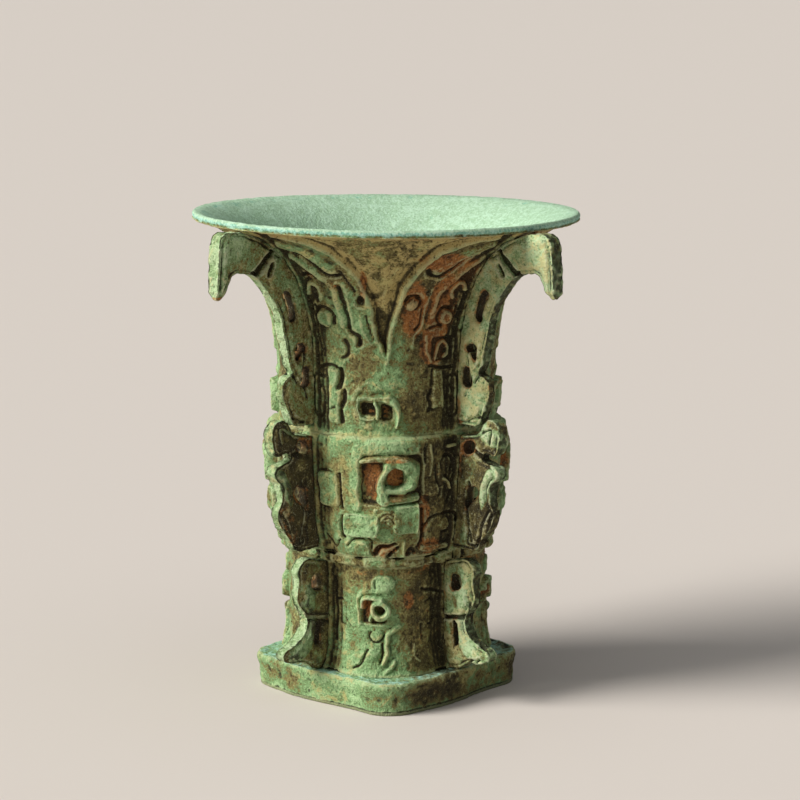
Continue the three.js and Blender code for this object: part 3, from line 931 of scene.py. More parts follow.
class LoftTree(ShapeTree):
    """A tree that lofts a closed skin through rounded-square sections."""

    def __init__(self) -> None:
        """Builds the tree."""
        super().__init__("rounded_square_loft", {"Stations": "Object", "Around": "Int", "Along": "Int"})

    def build(self) -> None:
        """Puts a grid's points on the sections, column by column."""
        around, along = Number(self, self.given["Around"]), Number(self, self.given["Along"])
        grid = self.node("GeometryNodeMeshGrid", {"Vertices X": around + 1.0, "Vertices Y": along + 1.0})
        index = self.number("Index", "GeometryNodeInputIndex")
        column = (index / (along + 1.0) + 1e-5).put("FLOOR")
        row = index - column * (along + 1.0)
        angle = column / around * (2 * math.pi)
        guide = {"Object": self.given["Stations"]}
        stations = self.node("GeometryNodeObjectInfo", guide, transform_space="ORIGINAL")
        station = {
            "Geometry": stations.outputs["Geometry"],
            "Value": self.node("GeometryNodeInputPosition").outputs["Position"],
            "Index": (row + 0.5).put("MODULO", along).put("FLOOR"),
        }
        sample = self.node("GeometryNodeSampleIndex", station, data_type="FLOAT_VECTOR", domain="POINT")
        split = self.node("ShaderNodeSeparateXYZ", {"Vector": sample.outputs["Value"]})
        radius = self.section(Number(self, split.outputs["X"]), Number(self, split.outputs["Y"]), angle)
        sides = {"X": radius * angle.put("COSINE"), "Y": radius * angle.put("SINE"), "Z": split.outputs["Z"]}
        joined = self.node("ShaderNodeCombineXYZ", sides)
        points = {"Geometry": grid.outputs["Mesh"], "Position": joined.outputs["Vector"]}
        self.finish(self.node("GeometryNodeSetPosition", points).outputs["Geometry"])

    def section(self, face: Number, corner: Number, angle: Number) -> Number:
        """The radius of a rounded-square section.

        Args:
            face: Distance to the middle of a face.
            corner: Distance to a corner.
            angle: Direction, in radians.

        Returns:
            The radius in that direction.
        """
        quarter = (angle / QUARTER_TURN).put("ROUND") * QUARTER_TURN
        off_face = (angle - quarter).put("ABSOLUTE")
        rounding = (face * math.sqrt(2) - corner) / (math.sqrt(2) - 1)
        flat = face - rounding
        centre = flat * math.sqrt(2)
        turn = off_face * -1.0 + EIGHTH_TURN
        inner = rounding * rounding - (centre * turn.put("SINE")).put("POWER", 2.0)
        round_reach = centre * turn.put("COSINE") + inner.put("MAXIMUM", 0.0).put("SQRT")
        straight_reach = face / off_face.put("COSINE")
        on_flat = (face * off_face.put("TANGENT")).put("LESS_THAN", flat)
        return round_reach + (straight_reach - round_reach) * on_flat

    def loft(self, name: str, stations: Array, around: int, finish: Patina) -> bpy.types.Mesh:
        """Lofts one skin.

        Args:
            name: The name of the mesh.
            stations: Closed rows of face distance, corner distance and height, in millimetres.
            around: How many columns go round.
            finish: The skin's patina.

        Returns:
            A plain mesh whose vertices run up each column in turn, the first ones repeated last.
        """
        rail = bpy.data.meshes.new(name + "_stations")
        rail.from_pydata([tuple(row * MM) for row in stations], [], [])
        guide = placed(name + "_stations", rail)
        mesh = self.grown(name, finish, {"Stations": guide, "Around": around, "Along": len(stations)})
        bpy.data.objects.remove(guide)
        return mesh


def evaluated_mesh(holder: bpy.types.Object, name: str) -> bpy.types.Mesh:
    """What an object's modifiers make, as a plain mesh.

    Args:
        holder: The object.
        name: The mesh's name.

    Returns:
        The mesh.
    """
    bpy.context.view_layer.update()
    graph = bpy.context.evaluated_depsgraph_get()
    mesh = bpy.data.meshes.new_from_object(holder.evaluated_get(graph), depsgraph=graph)
    mesh.name = name
    return mesh


@dataclass(frozen=True)
class Levels:
    """Heights and reaches that the frame gives, in millimetres."""

    plinth_top: float
    plinth_face: float
    foot_top: float
    belly_foot: float
    belly_top: float
    lip_top: float
    mouth_radius: float

    @classmethod
    def of_frame(cls) -> "Levels":
        """Reads them from the boxes of the frame's nodes."""
        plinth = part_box("plinth_ring")[1] / MM
        belly_low, belly_high = (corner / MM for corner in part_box("belly_shell"))
        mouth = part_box("trumpet_neck")[1] / MM
        return cls(
            plinth_top=plinth.z,
            plinth_face=plinth.x,
            foot_top=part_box("foot_shell")[1].z / MM,
            belly_foot=belly_low.z,
            belly_top=belly_high.z,
            lip_top=mouth.z,
            mouth_radius=mouth.x,
        )


@dataclass
class Shell:
    """A lofted register of the cup with its relief.

    Attributes:
        levels: The frame's heights.
        name: The name of the node that it stands for.
        slot: A slot name for its finish, which is not used.
        finish: Its patina.
        columns: How many columns of vertices go round.
        rows: How many rows the outside has.
        rough: How uneven the casting is, in millimetres.
        sway: How far the lines of the relief stray, in millimetres.
        lee: Painted shade: how much thinner the powder lies to the right of a corner.
        windward: Painted light: how much thicker the powder lies, with less earth and darkening, on faces
            turned to the window light, and thinner on those turned away.
        earth: Its spots of earth.
        fresh: Its spots of fresh green.
    """

    levels: Levels
    name: str = ""
    slot: str = "body_patina"
    finish: Patina = BODY_PATINA
    columns: int = 480
    rows: int = 100
    rough: float = 0.12
    sway: float = 0.28
    lee: float = 0.65
    windward: float = 0.25
    earth: tuple[Patch, ...] = ()
    fresh: tuple[Patch, ...] = ()

    def outside(self) -> Array:
        """Rows of face distance, corner distance and height, up the outside."""
        raise NotImplementedError

    def inside(self) -> Array:
        """The rows that go back down and close the skin."""
        raise NotImplementedError

    def relief(self, canvas: Canvas) -> Array:
        """Heights of the relief at the outside's vertices, in millimetres."""
        return np.zeros(len(canvas.turn))

    def mouth(self, shape: tuple[int, int]) -> Array:
        """How far the smooth pale bloom covers each vertex, by column and station."""
        return np.zeros(shape)

    def sheltered(self, turn: Array) -> Array:
        """How far each place lies to the right of a corner, where the powder is thinned and darkened as
        painted shade.
        """
        return smooth((turn - 3) / 14) * smooth((47 - turn) / 12)

    def sand(self, canvas: Canvas) -> Array:
        """How far the yellowish crust covers the outside's vertices."""
        return 0.35 * smooth((-12 - canvas.turn) / 10)

    def grime(self, straight: Canvas) -> Array:
        """How dark each place is made: dirt and painted flange shadow in the gutters beside the flanges, and
        painted shade to the right of a corner.
        """
        away = straight.from_flange()
        strip = 0.5 * smooth((5.4 - away) / 1.6) + 0.3 * smooth((2.9 - away) / 0.8)
        return strip + 0.12 * self.sheltered(straight.turn)

    def shifts(self, points: Array) -> Array:
        """Moves of whole points, for what is bent in the real casting."""
        return np.zeros_like(points)

    def place(self, turn: Array, up: Array, off: Array, heading: float) -> Array:
        """Points over the skin.

        Args:
            turn: Degrees to the right of the corner.
            up: Millimetres up the outline.
            off: How far they stand off the skin.
            heading: The corner's angle about the axis.

        Returns:
            Rows of x, y and z in millimetres.
        """
        outline = resampled(self.outside(), 200)
        length = outline_length(outline)
        face, corner, z = (np.interp(up, length, outline[:, i]) for i in range(3))
        slope = np.gradient(outline, axis=0)
        size = np.hypot(slope[:, 0], slope[:, 2])
        out = np.interp(up, length, slope[:, 2] / size) * off
        rise = -np.interp(up, length, slope[:, 0] / size) * off
        radius = section_radius(face + out, corner + out, turn * DEGREE)
        angle = heading + turn * DEGREE
        return np.stack([radius * np.cos(angle), radius * np.sin(angle), z + rise], axis=-1)

    def build(self, loft: LoftTree) -> None:
        """Lofts the skin, cuts its relief and finishes the piece.

        Args:
            loft: The tree that lofts it.
        """
        outer = resampled(self.outside(), self.rows)
        stations = np.vstack([outer, self.inside()])
        mesh = loft.loft(self.name, stations, self.columns, self.finish)
        closed = positions(mesh).reshape(self.columns + 1, len(stations) + 1, 3)
        grid = closed[:-1, :-1]
        # The direction off the skin at each vertex, then the outside's places on the unrolled skin.
        across = np.roll(grid, -1, 0) - np.roll(grid, 1, 0)
        upward = np.roll(grid, -1, 1) - np.roll(grid, 1, 1)
        normal = np.cross(across, upward)
        normal /= np.maximum(np.linalg.norm(normal, axis=2, keepdims=True), 1e-9)
        angle = np.arange(self.columns) / self.columns * 2 * math.pi
        turn = np.repeat(nearest_turn(angle)[:, None], self.rows, 1)
        up = np.repeat(outline_length(outer)[None], self.columns, 0)
        radius = section_radius(outer[None, :, 0], outer[None, :, 1], turn)
        front = grid[:, : self.rows].reshape(-1, 3)
        straight = Canvas((turn / DEGREE).ravel(), up.ravel(), (radius * DEGREE).ravel())
        canvas = straight.swayed(front, self.sway)
        # The relief, here deeper and there shallower, and what lies on it, with painted shade in the deep
        # relief, beside the flanges and to the right of each corner.
        height = self.relief(canvas) * (1 + 0.35 * CASTING.at(front + 5.1, 3.3))
        # Painted light and shade: faces turned to the window light get more powder and less earth and
        # darkening, and faces turned away less powder.
        facing_light = np.repeat(exposure(angle), self.rows)
        unlit_share = 1 - 0.85 * min(self.windward, 1) * np.maximum(facing_light, 0)
        painted_dimming = self.lee * self.sheltered(straight.turn) * unlit_share
        on_outside = {
            "relief": height,
            "earth": np.maximum(stained(self.earth, canvas), 0.34 * np.clip(-height / 0.6, 0, 1)) * unlit_share,
            "bloom": stained(self.fresh, canvas) - painted_dimming + self.windward * facing_light,
            "sand": self.sand(canvas),
            "pit": self.grime(straight) * unlit_share + 0.45 * np.clip((-height - 0.25) / 0.5, 0, 1),
            "rise": np.clip(height / 0.5, -1.5, 1.5),
        }
        layers = {name: np.zeros(grid.shape[:2]) for name in on_outside}
        for name, values in on_outside.items():
            layers[name][:, : self.rows] = values.reshape(self.columns, self.rows)
        relief = layers.pop("relief")
        layers["mouth"] = self.mouth(grid.shape[:2])
        # The unevenness and the pits of the casting, slighter on the inside.
        flat = grid.reshape(-1, 3)
        uneven = np.full(grid.shape[:2], 0.4 * self.rough)
        uneven[:, : self.rows] = self.rough
        pitted = smooth((CASTING.at(flat + 3.7, 1.1) - 0.4) / 0.35)
        bumps = CASTING.rough(flat, 2.7) + 0.5 * CASTING.at(flat + 9.1, 1.2) + 0.6 * CASTING.at(flat, 0.6)
        bumps -= 1.1 * pitted
        lift = relief.ravel() + uneven.ravel() * bumps
        moved = flat + normal.reshape(-1, 3) * lift[:, None] + self.shifts(flat)
        moved[:, 2] = np.maximum(moved[:, 2], 0)
        # The loft's mesh has its first column and station twice.
        wrapped = np.pad(moved.reshape(grid.shape), ((0, 1), (0, 1), (0, 0)), mode="wrap")
        set_positions(mesh, wrapped.reshape(-1, 3))
        for name, values in layers.items():
            set_attribute(mesh, name, np.pad(values, ((0, 1), (0, 1)), mode="wrap").ravel())
        finished_piece(mesh, self.finish, self.name)


def exposure(angle: Array | float) -> Array | float:
    """How far a direction from the axis faces the window light, from -1 to 1, for painted light and shade.
    """
    return np.cos(angle - PAINTED_LIGHT_SIDE)


def gutter(canvas: Canvas, depth: float, root: float = 0.15) -> Array:
    """The sunk strip beside each flange, and the fillet at the flange's root.

    Args:
        canvas: The vertices.
        depth: How deep the strip is.
        root: How high the fillet stands at the flange.

    Returns:
        The heights.
    """
    away = canvas.from_flange()
    strip = smooth((5.8 - away) / 1.8) * smooth((away - 1.3) / 1.0)
    flutes = 0.05 * np.sin(away * 2 * math.pi / 1.15) * strip
    return flutes - depth * strip + root * smooth((2.4 - away) / 1.0)


def mirrored(marks: tuple[Mark, ...]) -> tuple[Mark, ...]:
    """Marks with left and right turned about."""
    return tuple(replace(mark, points=tuple((-x, y) for x, y in mark.points)) for mark in marks)


def mouth_warp(points: Array) -> Array:
    """Moves of points near the lip, which isn't quite level, nor quite round.

    Args:
        points: Rows of x, y and z in millimetres.

    Returns:
        The moves.
    """
    moved = np.zeros_like(points)
    reach = np.hypot(points[:, 0], points[:, 1]) / WARP_REACH
    angle = np.arctan2(points[:, 1], points[:, 0])
    off_right = angle - EIGHTH_TURN
    sway = 1.1 - 0.6 * np.cos(off_right) + 0.4 * np.cos(2 * off_right) - 0.3 * np.sin(off_right)
    moved[:, 2] = reach**6 * sway
    dent = 0.16 * reach**10 * np.minimum(CASTING.rough(points, 9), 0)
    moved[:, 0] = dent * np.cos(angle)
    moved[:, 1] = dent * np.sin(angle)
    return moved


@dataclass
class Neck(Shell):
    """The trumpet neck: leaves on its four faces, plain pointed fields between them."""

    name: str = "trumpet_neck"
    slot: str = "mouth_patina"
    finish: Patina = NECK_PATINA
    rows: int = 165
    face: float = 19.5
    corner: float = 20.4
    waist_rise: float = 7.0
    flare_turn: float = 80 * DEGREE
    flare_power: float = 2.4
    wall: float = 2.2
    lip: float = 1.4
    spigot_face: float = 16.5
    spigot_corner: float = 18.6
    spigot_depth: float = 2.4
    tip_up: float = 13.9
    field_depth: float = 0.9

    LEFT_BORDER = (
        (-0.2, 13.9), (-2.6, 16.3), (-4.6, 18.2), (-6.2, 21.5), (-7.2, 24.1), (-9, 26.9), (-11.2, 29),
        (-13.2, 31), (-15.6, 33), (-18.4, 35), (-21.5, 37.2), (-26, 39.4), (-31, 41.2), (-37, 42.6),
    )
    RIGHT_BORDER = (
        (0.2, 13.9), (1.8, 16.5), (2.9, 19.6), (4.9, 22.4), (6.5, 25.2), (8.9, 28.3), (11.3, 30.5),
        (13.7, 32.6), (16.6, 34.8), (19.6, 36.9), (24.2, 39), (30, 41), (37, 42.6),
    )
    # Earth over the leaves' upper parts and in the fields, green under the tips.
    earth: tuple[Patch, ...] = (
        Patch((0, 18), (3, 5), 0.42), Patch((0, 43.8), (50, 2.2), 0.6), Patch((-10, 28.4), (1.8, 3.4), 0.95),
        Patch((-34.5, 31), (3, 3), 0.7), Patch((-24, 28.6), (3, 1.2), 0.7), Patch((-9, 15), (3, 4), 0.42),
        Patch((-15, 8), (1.5, 6), 0.45), Patch((-33, 26), (5, 4), 0.62), Patch((-40, 40), (8, 3), 0.6),
        Patch((13, 24), (6.5, 6), 0.88), Patch((28, 24), (8.5, 7)), Patch((25, 17), (8, 4.2)),
        Patch((25, 34), (10, 2.4)), Patch((36, 31), (6, 4), 0.85), Patch((-39, 42), (6, 1.2), 0.9),
        Patch((12, 8), (14, 8), 0.36), Patch((-40, 6), (6, 12), 0.3), Patch((40, 8), (6, 10), 0.3),
    )
    fresh: tuple[Patch, ...] = (
        Patch((1, 10.4), (8, 2.6), 1.4), Patch((0, 1.4), (12, 1.8), 0.8), Patch((-15, 24), (6, 5), 0.45),
        Patch((-24, 13), (5, 5), 0.3),
    )

    # The half leaf to the left of a corner.
    left_leaf: tuple[Feature, ...] = (
        Pad((-27.4, 7.4), (1.15, 5), 0.35), Mark(LEFT_BORDER, 0.7, 0.22, 1.3, 0.8),
        Mark(((-8.6, 10.2), (-14.2, 8.8), (-16.5, 6), (-14.2, 3.2), (-8.6, 2)), 1, 0.4),
        Mark(((-38, 39), (-31, 37), (-25.5, 34.4), (-21.6, 32)), 2.3, 0.4, 0.75, 1.1),
        Mark(((-38, 35), (-33, 32.4), (-29, 30.2), (-25.2, 28.6), (-23, 26), (-22, 20.6)),
             1.1, 0.36, 0.8, 0.8),
        Mark(((-24.5, 28), (-21.3, 29.2), (-18.4, 28.2), (-17.3, 25.6), (-16.8, 21.2)), 0.6, 0.3),
        Mark(((-37, 26.6), (-35.2, 28.5), (-31.6, 28.4), (-30.2, 26.8), (-31.8, 25.4)), 0.8, 0.4),
        Pad((-31.3, 21.9), (1.5, 1.5), 0.34, 1.4),
        Mark(arc((-11.4, 25.2), (3.2, 1.3), 20, -190), 0.7, 0.35, 0.6, 0.6), Boss((-11.6, 25.4), 1, -0.8),
        Boss((-10.2, 24.4), 0.5, -0.5), Mark(((-19.3, 31.9), (-16.6, 29.6), (-14.4, 27.2)), 0.5, -0.55),
        Mark(((-9.6, 22.6), (-8, 20), (-5.6, 17.8)), 0.45, -0.4, 0.6, 0.4),
        Mark(((-12.6, 22.8), (-12, 20.4), (-9.6, 18.4), (-7, 16.8)), 0.5, 0.3, 0.8, 0.4),
        Mark(((-35, 36), (-30.5, 34), (-28.2, 32.4), (-25.2, 30.8), (-20.2, 30.9)), 0.95, -0.85),
        Mark(((-38, 30.2), (-34, 30.5), (-31.2, 30)), 0.6, -0.55),
        Mark(((-21, 28), (-20, 26), (-18.8, 23), (-18.3, 20.2), (-16, 19.2), (-13.8, 18.6), (-13, 17)),
             0.75, -0.65),
        Mark(arc((-31.3, 21.9), (5.4, 2.1), 215, -240), 0.55, -0.5), Boss((-33.2, 25.2), 0.45, -0.45),
        Boss((-36.2, 23.8), 0.45, -0.45),
        Mark(((-20.5, 17.6), (-18.6, 16.5), (-19.2, 15), (-22.6, 14.2)), 1, -0.65, 0.5),
        Mark(((-37.2, 12.4), (-33.3, 12.7), (-27.7, 12.8), (-24, 12.5)), 0.45, -0.5),
        Mark(((-23.4, 12.4), (-23.4, 11), (-25.2, 8.7)), 0.85, -0.65),
        Mark(((-22, 8.2), (-21.8, 6.8), (-23.2, 5.7)), 0.85, -0.65),
        Mark(((-23.7, 4.8), (-23, 2.8)), 0.8, -0.65), Mark(((-29.8, 5), (-27, 5.4)), 0.4, -0.4),
    )

    # The half leaf to the right of a corner.
    right_leaf: tuple[Feature, ...] = (
        Pad((27.8, 8.4), (1.1, 3.6), 0.3), Pad((30, 16), (2.3, 2.2), -0.35),
        Pad((29.5, 25.6), (2.6, 2), -0.25, 1.2), Mark(RIGHT_BORDER, 0.75, 0.42, 1.1, 0.6),
        Mark(((20.6, 28), (19.2, 25.8), (17.5, 24), (17.6, 20.9), (15.4, 19.7), (13.4, 18.9), (12.9, 16.8)),
             0.5, 0.26),
        Mark(((38, 38.8), (31, 36.4), (25, 33.8), (20.4, 31.9)), 2.2, 0.4, 0.8, 1.1),
        Mark(((40, 34.4), (34, 32), (29.6, 29.8), (25.6, 27.9), (22.6, 25), (21.8, 22.4)),
             1.3, 0.36, 0.9, 0.9),
        Mark(((38, 27.2), (35.2, 28.8), (31.8, 28.6), (30.4, 27), (32.2, 25.8)), 0.75, 0.4),
        Pad((30.2, 21.9), (1.3, 1.3), 0.34, 1.2), Mark(((19.8, 18.4), (20.9, 16), (23.2, 13.9)), 0.65, 0.35),
        Mark(((25.5, 14.2), (27.5, 16.6), (31, 17.2), (33.6, 15.6), (31.5, 14.4)), 0.6, 0.3),
        Boss((11.2, 24.9), 1.1, 0.65), Boss((14, 26.2), 0.6, -0.7),
        Mark(arc((12, 25.3), (3.4, 1.4), -60, 220), 0.6, -0.6),
        Mark(((16.4, 24), (16.5, 21.2), (13.8, 20)), 0.4, -0.4),
        Mark(((35.4, 36.2), (31.2, 34.2), (27, 32), (23.5, 30.7), (18.6, 30.9), (17.3, 32.2)), 0.9, -0.85),
        Mark(arc((30.2, 21.9), (5.2, 1.95), 60, 190), 0.6, -0.5), Mark(((21.7, 20), (28, 20.2)), 0.5, -0.5),
        Mark(((22.4, 12.9), (30, 12.6), (36.8, 12.5)), 0.45, -0.5),
        Mark(((24.4, 12.1), (25, 9.4)), 0.4, -0.4),
        Mark(((24.2, 8.6), (22.5, 7.3), (23.6, 6.1), (22.6, 5)), 0.45, -0.45),
        Mark(((24, 5.2), (29.6, 5)), 0.45, -0.4),
    )

    # Fine lines beside a flange: a squared spiral and upright flutes.
    root_spirals: tuple[Mark, ...] = (
        Mark(((-34.5, 10.6), (-41, 10.6), (-41, 4), (-35.6, 4), (-35.6, 8.6), (-38.8, 8.6), (-38.8, 6)),
             0.38, -0.3),
        Mark(((-34.2, 14.4), (-34.6, 19), (-36.4, 24)), 0.35, -0.3),
        Mark(((-36.6, 14.4), (-37, 19), (-38.8, 25)), 0.35, -0.25),
        Mark(((-39.2, 14.4), (-39.6, 20), (-41, 27)), 0.35, -0.25),
    )

    # The two caves behind the horn, and the ledge above it.
    horn_seat: tuple[Feature, ...] = (
        Mark(((-11, 9.2), (-4, 9.8), (4, 9.4)), 1.6, 0.35, 0.8, 0.9),
        Pad((-9, 5.4), (1.35, 1.2), -0.9, 0.5, 0, 0.5), Pad((0.2, 4.8), (1.05, 1.5), -1.1, 0.5, 0, 0.5),
    )

    def outside(self) -> Array:
        """Upright from the belly, then out along a superellipse to the lip."""
        rise = self.levels.lip_top - self.lip - self.levels.belly_top - self.waist_rise
        power = 2 / self.flare_power
        turn = np.linspace(0, self.flare_turn, 60)
        out = (1 - np.cos(turn) ** power) / (1 - math.cos(self.flare_turn) ** power)
        up = np.sin(turn) ** power / math.sin(self.flare_turn) ** power
        mouth, base = self.levels.mouth_radius, self.levels.belly_top
        face = self.face + (mouth - self.face) * out
        corner = self.corner + (mouth - self.corner) * out
        flare = np.stack([face, corner, base + self.waist_rise + rise * up], axis=1)
        return np.vstack([[self.face, self.corner, base - 0.3], flare])

    def inside(self) -> Array:
        """Round the lip, down the bore and round the ring that enters the belly."""
        outer = resampled(self.outside(), 28)
        ends = np.gradient(outer, axis=0)
        normal = np.stack([ends[:, 2], -ends[:, 0]], axis=1)
        normal /= np.linalg.norm(normal, axis=1, keepdims=True)
        wall = np.linspace(self.wall, self.lip, len(outer))[:, None] * normal
        bore = outer - np.concatenate([wall[:, :1], wall[:, :1], wall[:, 1:]], axis=1)
        top, reach = self.levels.lip_top, self.levels.mouth_radius
        middle, half = top - self.lip / 2, self.lip / 2
        bend = np.linspace(-0.8, 1.2, 8)
        out = reach - half + half * np.cos(bend)
        lip = np.stack([out, out, middle + half * np.sin(bend)], axis=1)
        ring = spigot(self.spigot_face, self.spigot_corner, self.levels.belly_top, self.spigot_depth)
        return np.vstack([lip, bore[1:-1][::-1], ring])

    def field(self, canvas: Canvas) -> Array:
        """How deep the plain pointed field is at each vertex, as a share."""
        left, right = np.array(self.LEFT_BORDER), np.array(self.RIGHT_BORDER)
        low = np.interp(canvas.up, left[:, 1], left[:, 0])
        high = np.interp(canvas.up, right[:, 1], right[:, 0])
        inside = np.minimum(canvas.turn - low, high - canvas.turn) * canvas.per_degree
        edge = smooth((inside - 0.1) / 0.7)
        bulge = 1 - 0.62 * smooth((inside - 1.1) / 3.2)
        return edge * bulge * (canvas.up > self.tip_up) * smooth((44.2 - canvas.up) / 3)

    def relief(self, canvas: Canvas) -> Array:
        """The leaves, with their borders, curls, bosses and slots."""
        ground = gutter(canvas, 0.35) * smooth(canvas.up / 0.6) - self.field_depth * self.field(canvas)
        spirals = self.root_spirals + mirrored(self.root_spirals)
        features = self.left_leaf + self.right_leaf + spirals + self.horn_seat
        return carve(features, canvas, ground) * smooth((44.3 - canvas.up) / 1.2)

    def mouth(self, shape: tuple[int, int]) -> Array:
        """Bloom over the lip and down the inside, thinner toward the bottom."""
        columns, stations = shape
        share = np.zeros(shape)
        share[:, self.rows - 5 : self.rows] = np.linspace(0.05, 0.3, 5)
        share[:, self.rows : stations - 4] = np.linspace(1.1, 0.5, stations - self.rows - 4)
        share[:, self.rows : self.rows + 4] = (0.3, 0.4, 0.6, 0.9)
        return share

    def sand(self, canvas: Canvas) -> Array:
        """Crust over the upper part of the plain fields and right under the lip."""
        fields = 1.3 * self.field(canvas) * smooth((canvas.up - 20) / 9)
        return super().sand(canvas) * 0.3 + fields + 0.9 * smooth((canvas.up - 41.4) / 1.6)

    def grime(self, straight: Canvas) -> Array:
        """Less darkening in the plain fields, painted flange shadow to the left of each corner, and painted
        shade low on its right.
        """
        leaf = 0.42 * smooth((-straight.turn - 14) / 10)
        low = 0.4 * self.sheltered(straight.turn) * smooth((22 - straight.up) / 7)
        return super().grime(straight) + leaf + low - 0.6 * self.field(straight)

    def shifts(self, points: Array) -> Array:
        """The mouth's slight warp."""
        return mouth_warp(points)


@dataclass
class Belly(Shell):
    """The belly: framed spirals on its corners, blocks beside its flanges."""

    name: str = "belly_shell"
    windward: float = 0.35
    columns: int = 620
    rows: int = 124
    face: float = 19.4
    corner: float = 21.5
    tuck: float = 1.4
    tuck_height: float = 7.0
    swell: float = 0.7
    shoulder: float = 0.8
    shoulder_height: float = 3.2
    wall: float = 2.6
    # Earth in the frame and low on the right, green on the frame's top and left.
    earth: tuple[Patch, ...] = (
        Patch((-7, 15), (5, 4)), Patch((5, 15.4), (4, 3), 0.95), Patch((19, 8), (4, 4), 0.8),
        Patch((24, 2), (9, 2), 0.7), Patch((-1, 1.5), (6, 1.6), 0.9), Patch((38, 14), (7, 8), 0.35),
        Patch((-40, 12), (6, 12), 0.3), Patch((30, 10), (14, 10), 0.4), Patch((0, 0), (40, 1.2), 0.5),
    )
    fresh: tuple[Patch, ...] = (
        Patch((1, 20.6), (14, 2), 0.85), Patch((-16, 12), (5, 7), 0.5), Patch((-14, 6), (9, 3), 0.6),
        Patch((-30, 12.5), (5, 3), 0.4), Patch((-2, 4), (6, 1.5), 0.6),
    )

    # The left block, the frame with its recess, the lines to its right, and the marks at the foot.
    marks: tuple[Feature, ...] = (
        Pad((-30.6, 12.6), (2.5, 3.2), 0.42, 1, -0.05, 0.6),
        Mark(((-24, 15.6), (-23.6, 12.4), (-22.6, 9.2)), 0.5, -0.75, 1, 0.35),
        Mark(((-36.8, 15.8), (-31, 15.9), (-25.2, 15.6)), 0.45, -0.4),
        Mark(((-6, 21), (-12.5, 20.6), (-14.6, 18.6), (-15.2, 15.5), (-15.2, 12), (-14.4, 10)),
             2.2, 0.42, 0.9, 0.7),
        Mark(((-8, 20.8), (4, 21.2), (14, 20.6)), 1.9, 0.34, 1, 0.8),
        Pad((2.7, 15), (5.7, 4.5), -0.85, 1.2, 0, 0.6), Mark(((19.6, 20.6), (19.6, 18)), 0.5, -0.55),
        Mark(((22.4, 21), (23, 18.6), (22.2, 15.6)), 0.6, 0.35, 0.8, 0.4),
        Mark(((38.4, 14.6), (37.6, 11.6), (34.4, 9.8)), 0.55, -0.5),
        Mark(((30.2, 14.6), (33.6, 13.8), (36, 12.4)), 0.6, 0.4, 0.7, 0.4),
        Mark(((25.6, 17.3), (26.7, 14.3), (28.9, 12.3), (27.8, 11.4)), 0.45, -0.45),
        Boss((24.2, 13), 1.35, 0.45), Boss((20.2, 11.2), 1, -0.5),
        Mark(arc((33.2, 17.2), (4.2, 1.6), 200, -250), 0.5, -0.45), Pad((35.6, 20.5), (1.2, 0.35), 0.4, 0.3),
        Mark(((18, 9.2), (18.8, 6), (18.4, 3)), 0.8, -0.65),
        Mark(((16.6, 1.8), (19.5, 5.4), (23, 7.2), (29.2, 7.8), (40, 7.7), (42, 5), (41.8, 2.4)), 0.5, -0.5),
        Boss((33.5, 5.8), 1.4, 0.6), Mark(arc((33.5, 5.8), (4.2, 1.6), -100, 130), 0.4, -0.4),
        Pad((26.5, 1.7), (3.2, 0.6), 0.5, 0.5), Mark(((-21.4, 7.4), (-23.4, 5.5), (-23, 3.8)), 0.95, -0.75),
        Pad((-14.3, 2), (2.6, 1.5), 0.42, 1.2, 0, 0.9),
        Mark(arc((-14, 1.6), (6.4, 2.3), 165, -150), 0.45, -0.45),
        Mark(((-10, 4.3), (-7.6, 3), (-8, 1)), 0.4, -0.5),
        Mark(((-5.8, 0.9), (-3, 2.2), (1, 2.2), (4.5, 2.9)), 1.1, -0.7, 0.5),
        Mark(((5.6, 1.9), (3, 0.9), (0.4, 0.2)), 0.6, -0.6), Mark(((8.5, 3.2), (8.5, 0.3)), 0.5, 0.6),
        Mark(((10.8, 0.6), (12.4, 1.4), (14.2, 0.9)), 0.8, -0.6),
        Mark(((-36, 3.6), (-30, 1.6), (-25, 3)), 0.4, -0.35),
    )

    def grime(self, straight: Canvas) -> Array:
        """Dark moss round the top of the frames, and more painted shade on the right of each corner."""
        moss = smooth((straight.up - 18.4) / 2.4) * smooth((straight.turn + 12) / 12)
        return super().grime(straight) + 0.42 * moss + 0.1 * self.sheltered(straight.turn)

    def outside(self) -> Array:
        """In at the foot, then up to a swelling shoulder."""
        low, top = self.levels.belly_foot, self.levels.belly_top
        rows = [
            (-self.tuck, low),
            (-self.tuck / 3, low + self.tuck_height / 2),
            (0, low + self.tuck_height),
            (self.swell, top - self.shoulder_height),
            (self.swell, top - self.shoulder),
            (0.15, top),
        ]
        return offset_rows(self.face, self.corner, rows)

    def inside(self) -> Array:
        """Down the bore."""
        heights = np.linspace(self.levels.belly_top, self.levels.belly_foot, 12)
        return offset_rows(self.face, self.corner, [(-self.wall, z) for z in heights])

    def relief(self, canvas: Canvas) -> Array:
        """The frame round the spiral, the recess in it, and the blocks and lines beside it."""
        return carve(self.marks, canvas, gutter(canvas, 0.4) * smooth((23.4 - canvas.up) / 0.6))


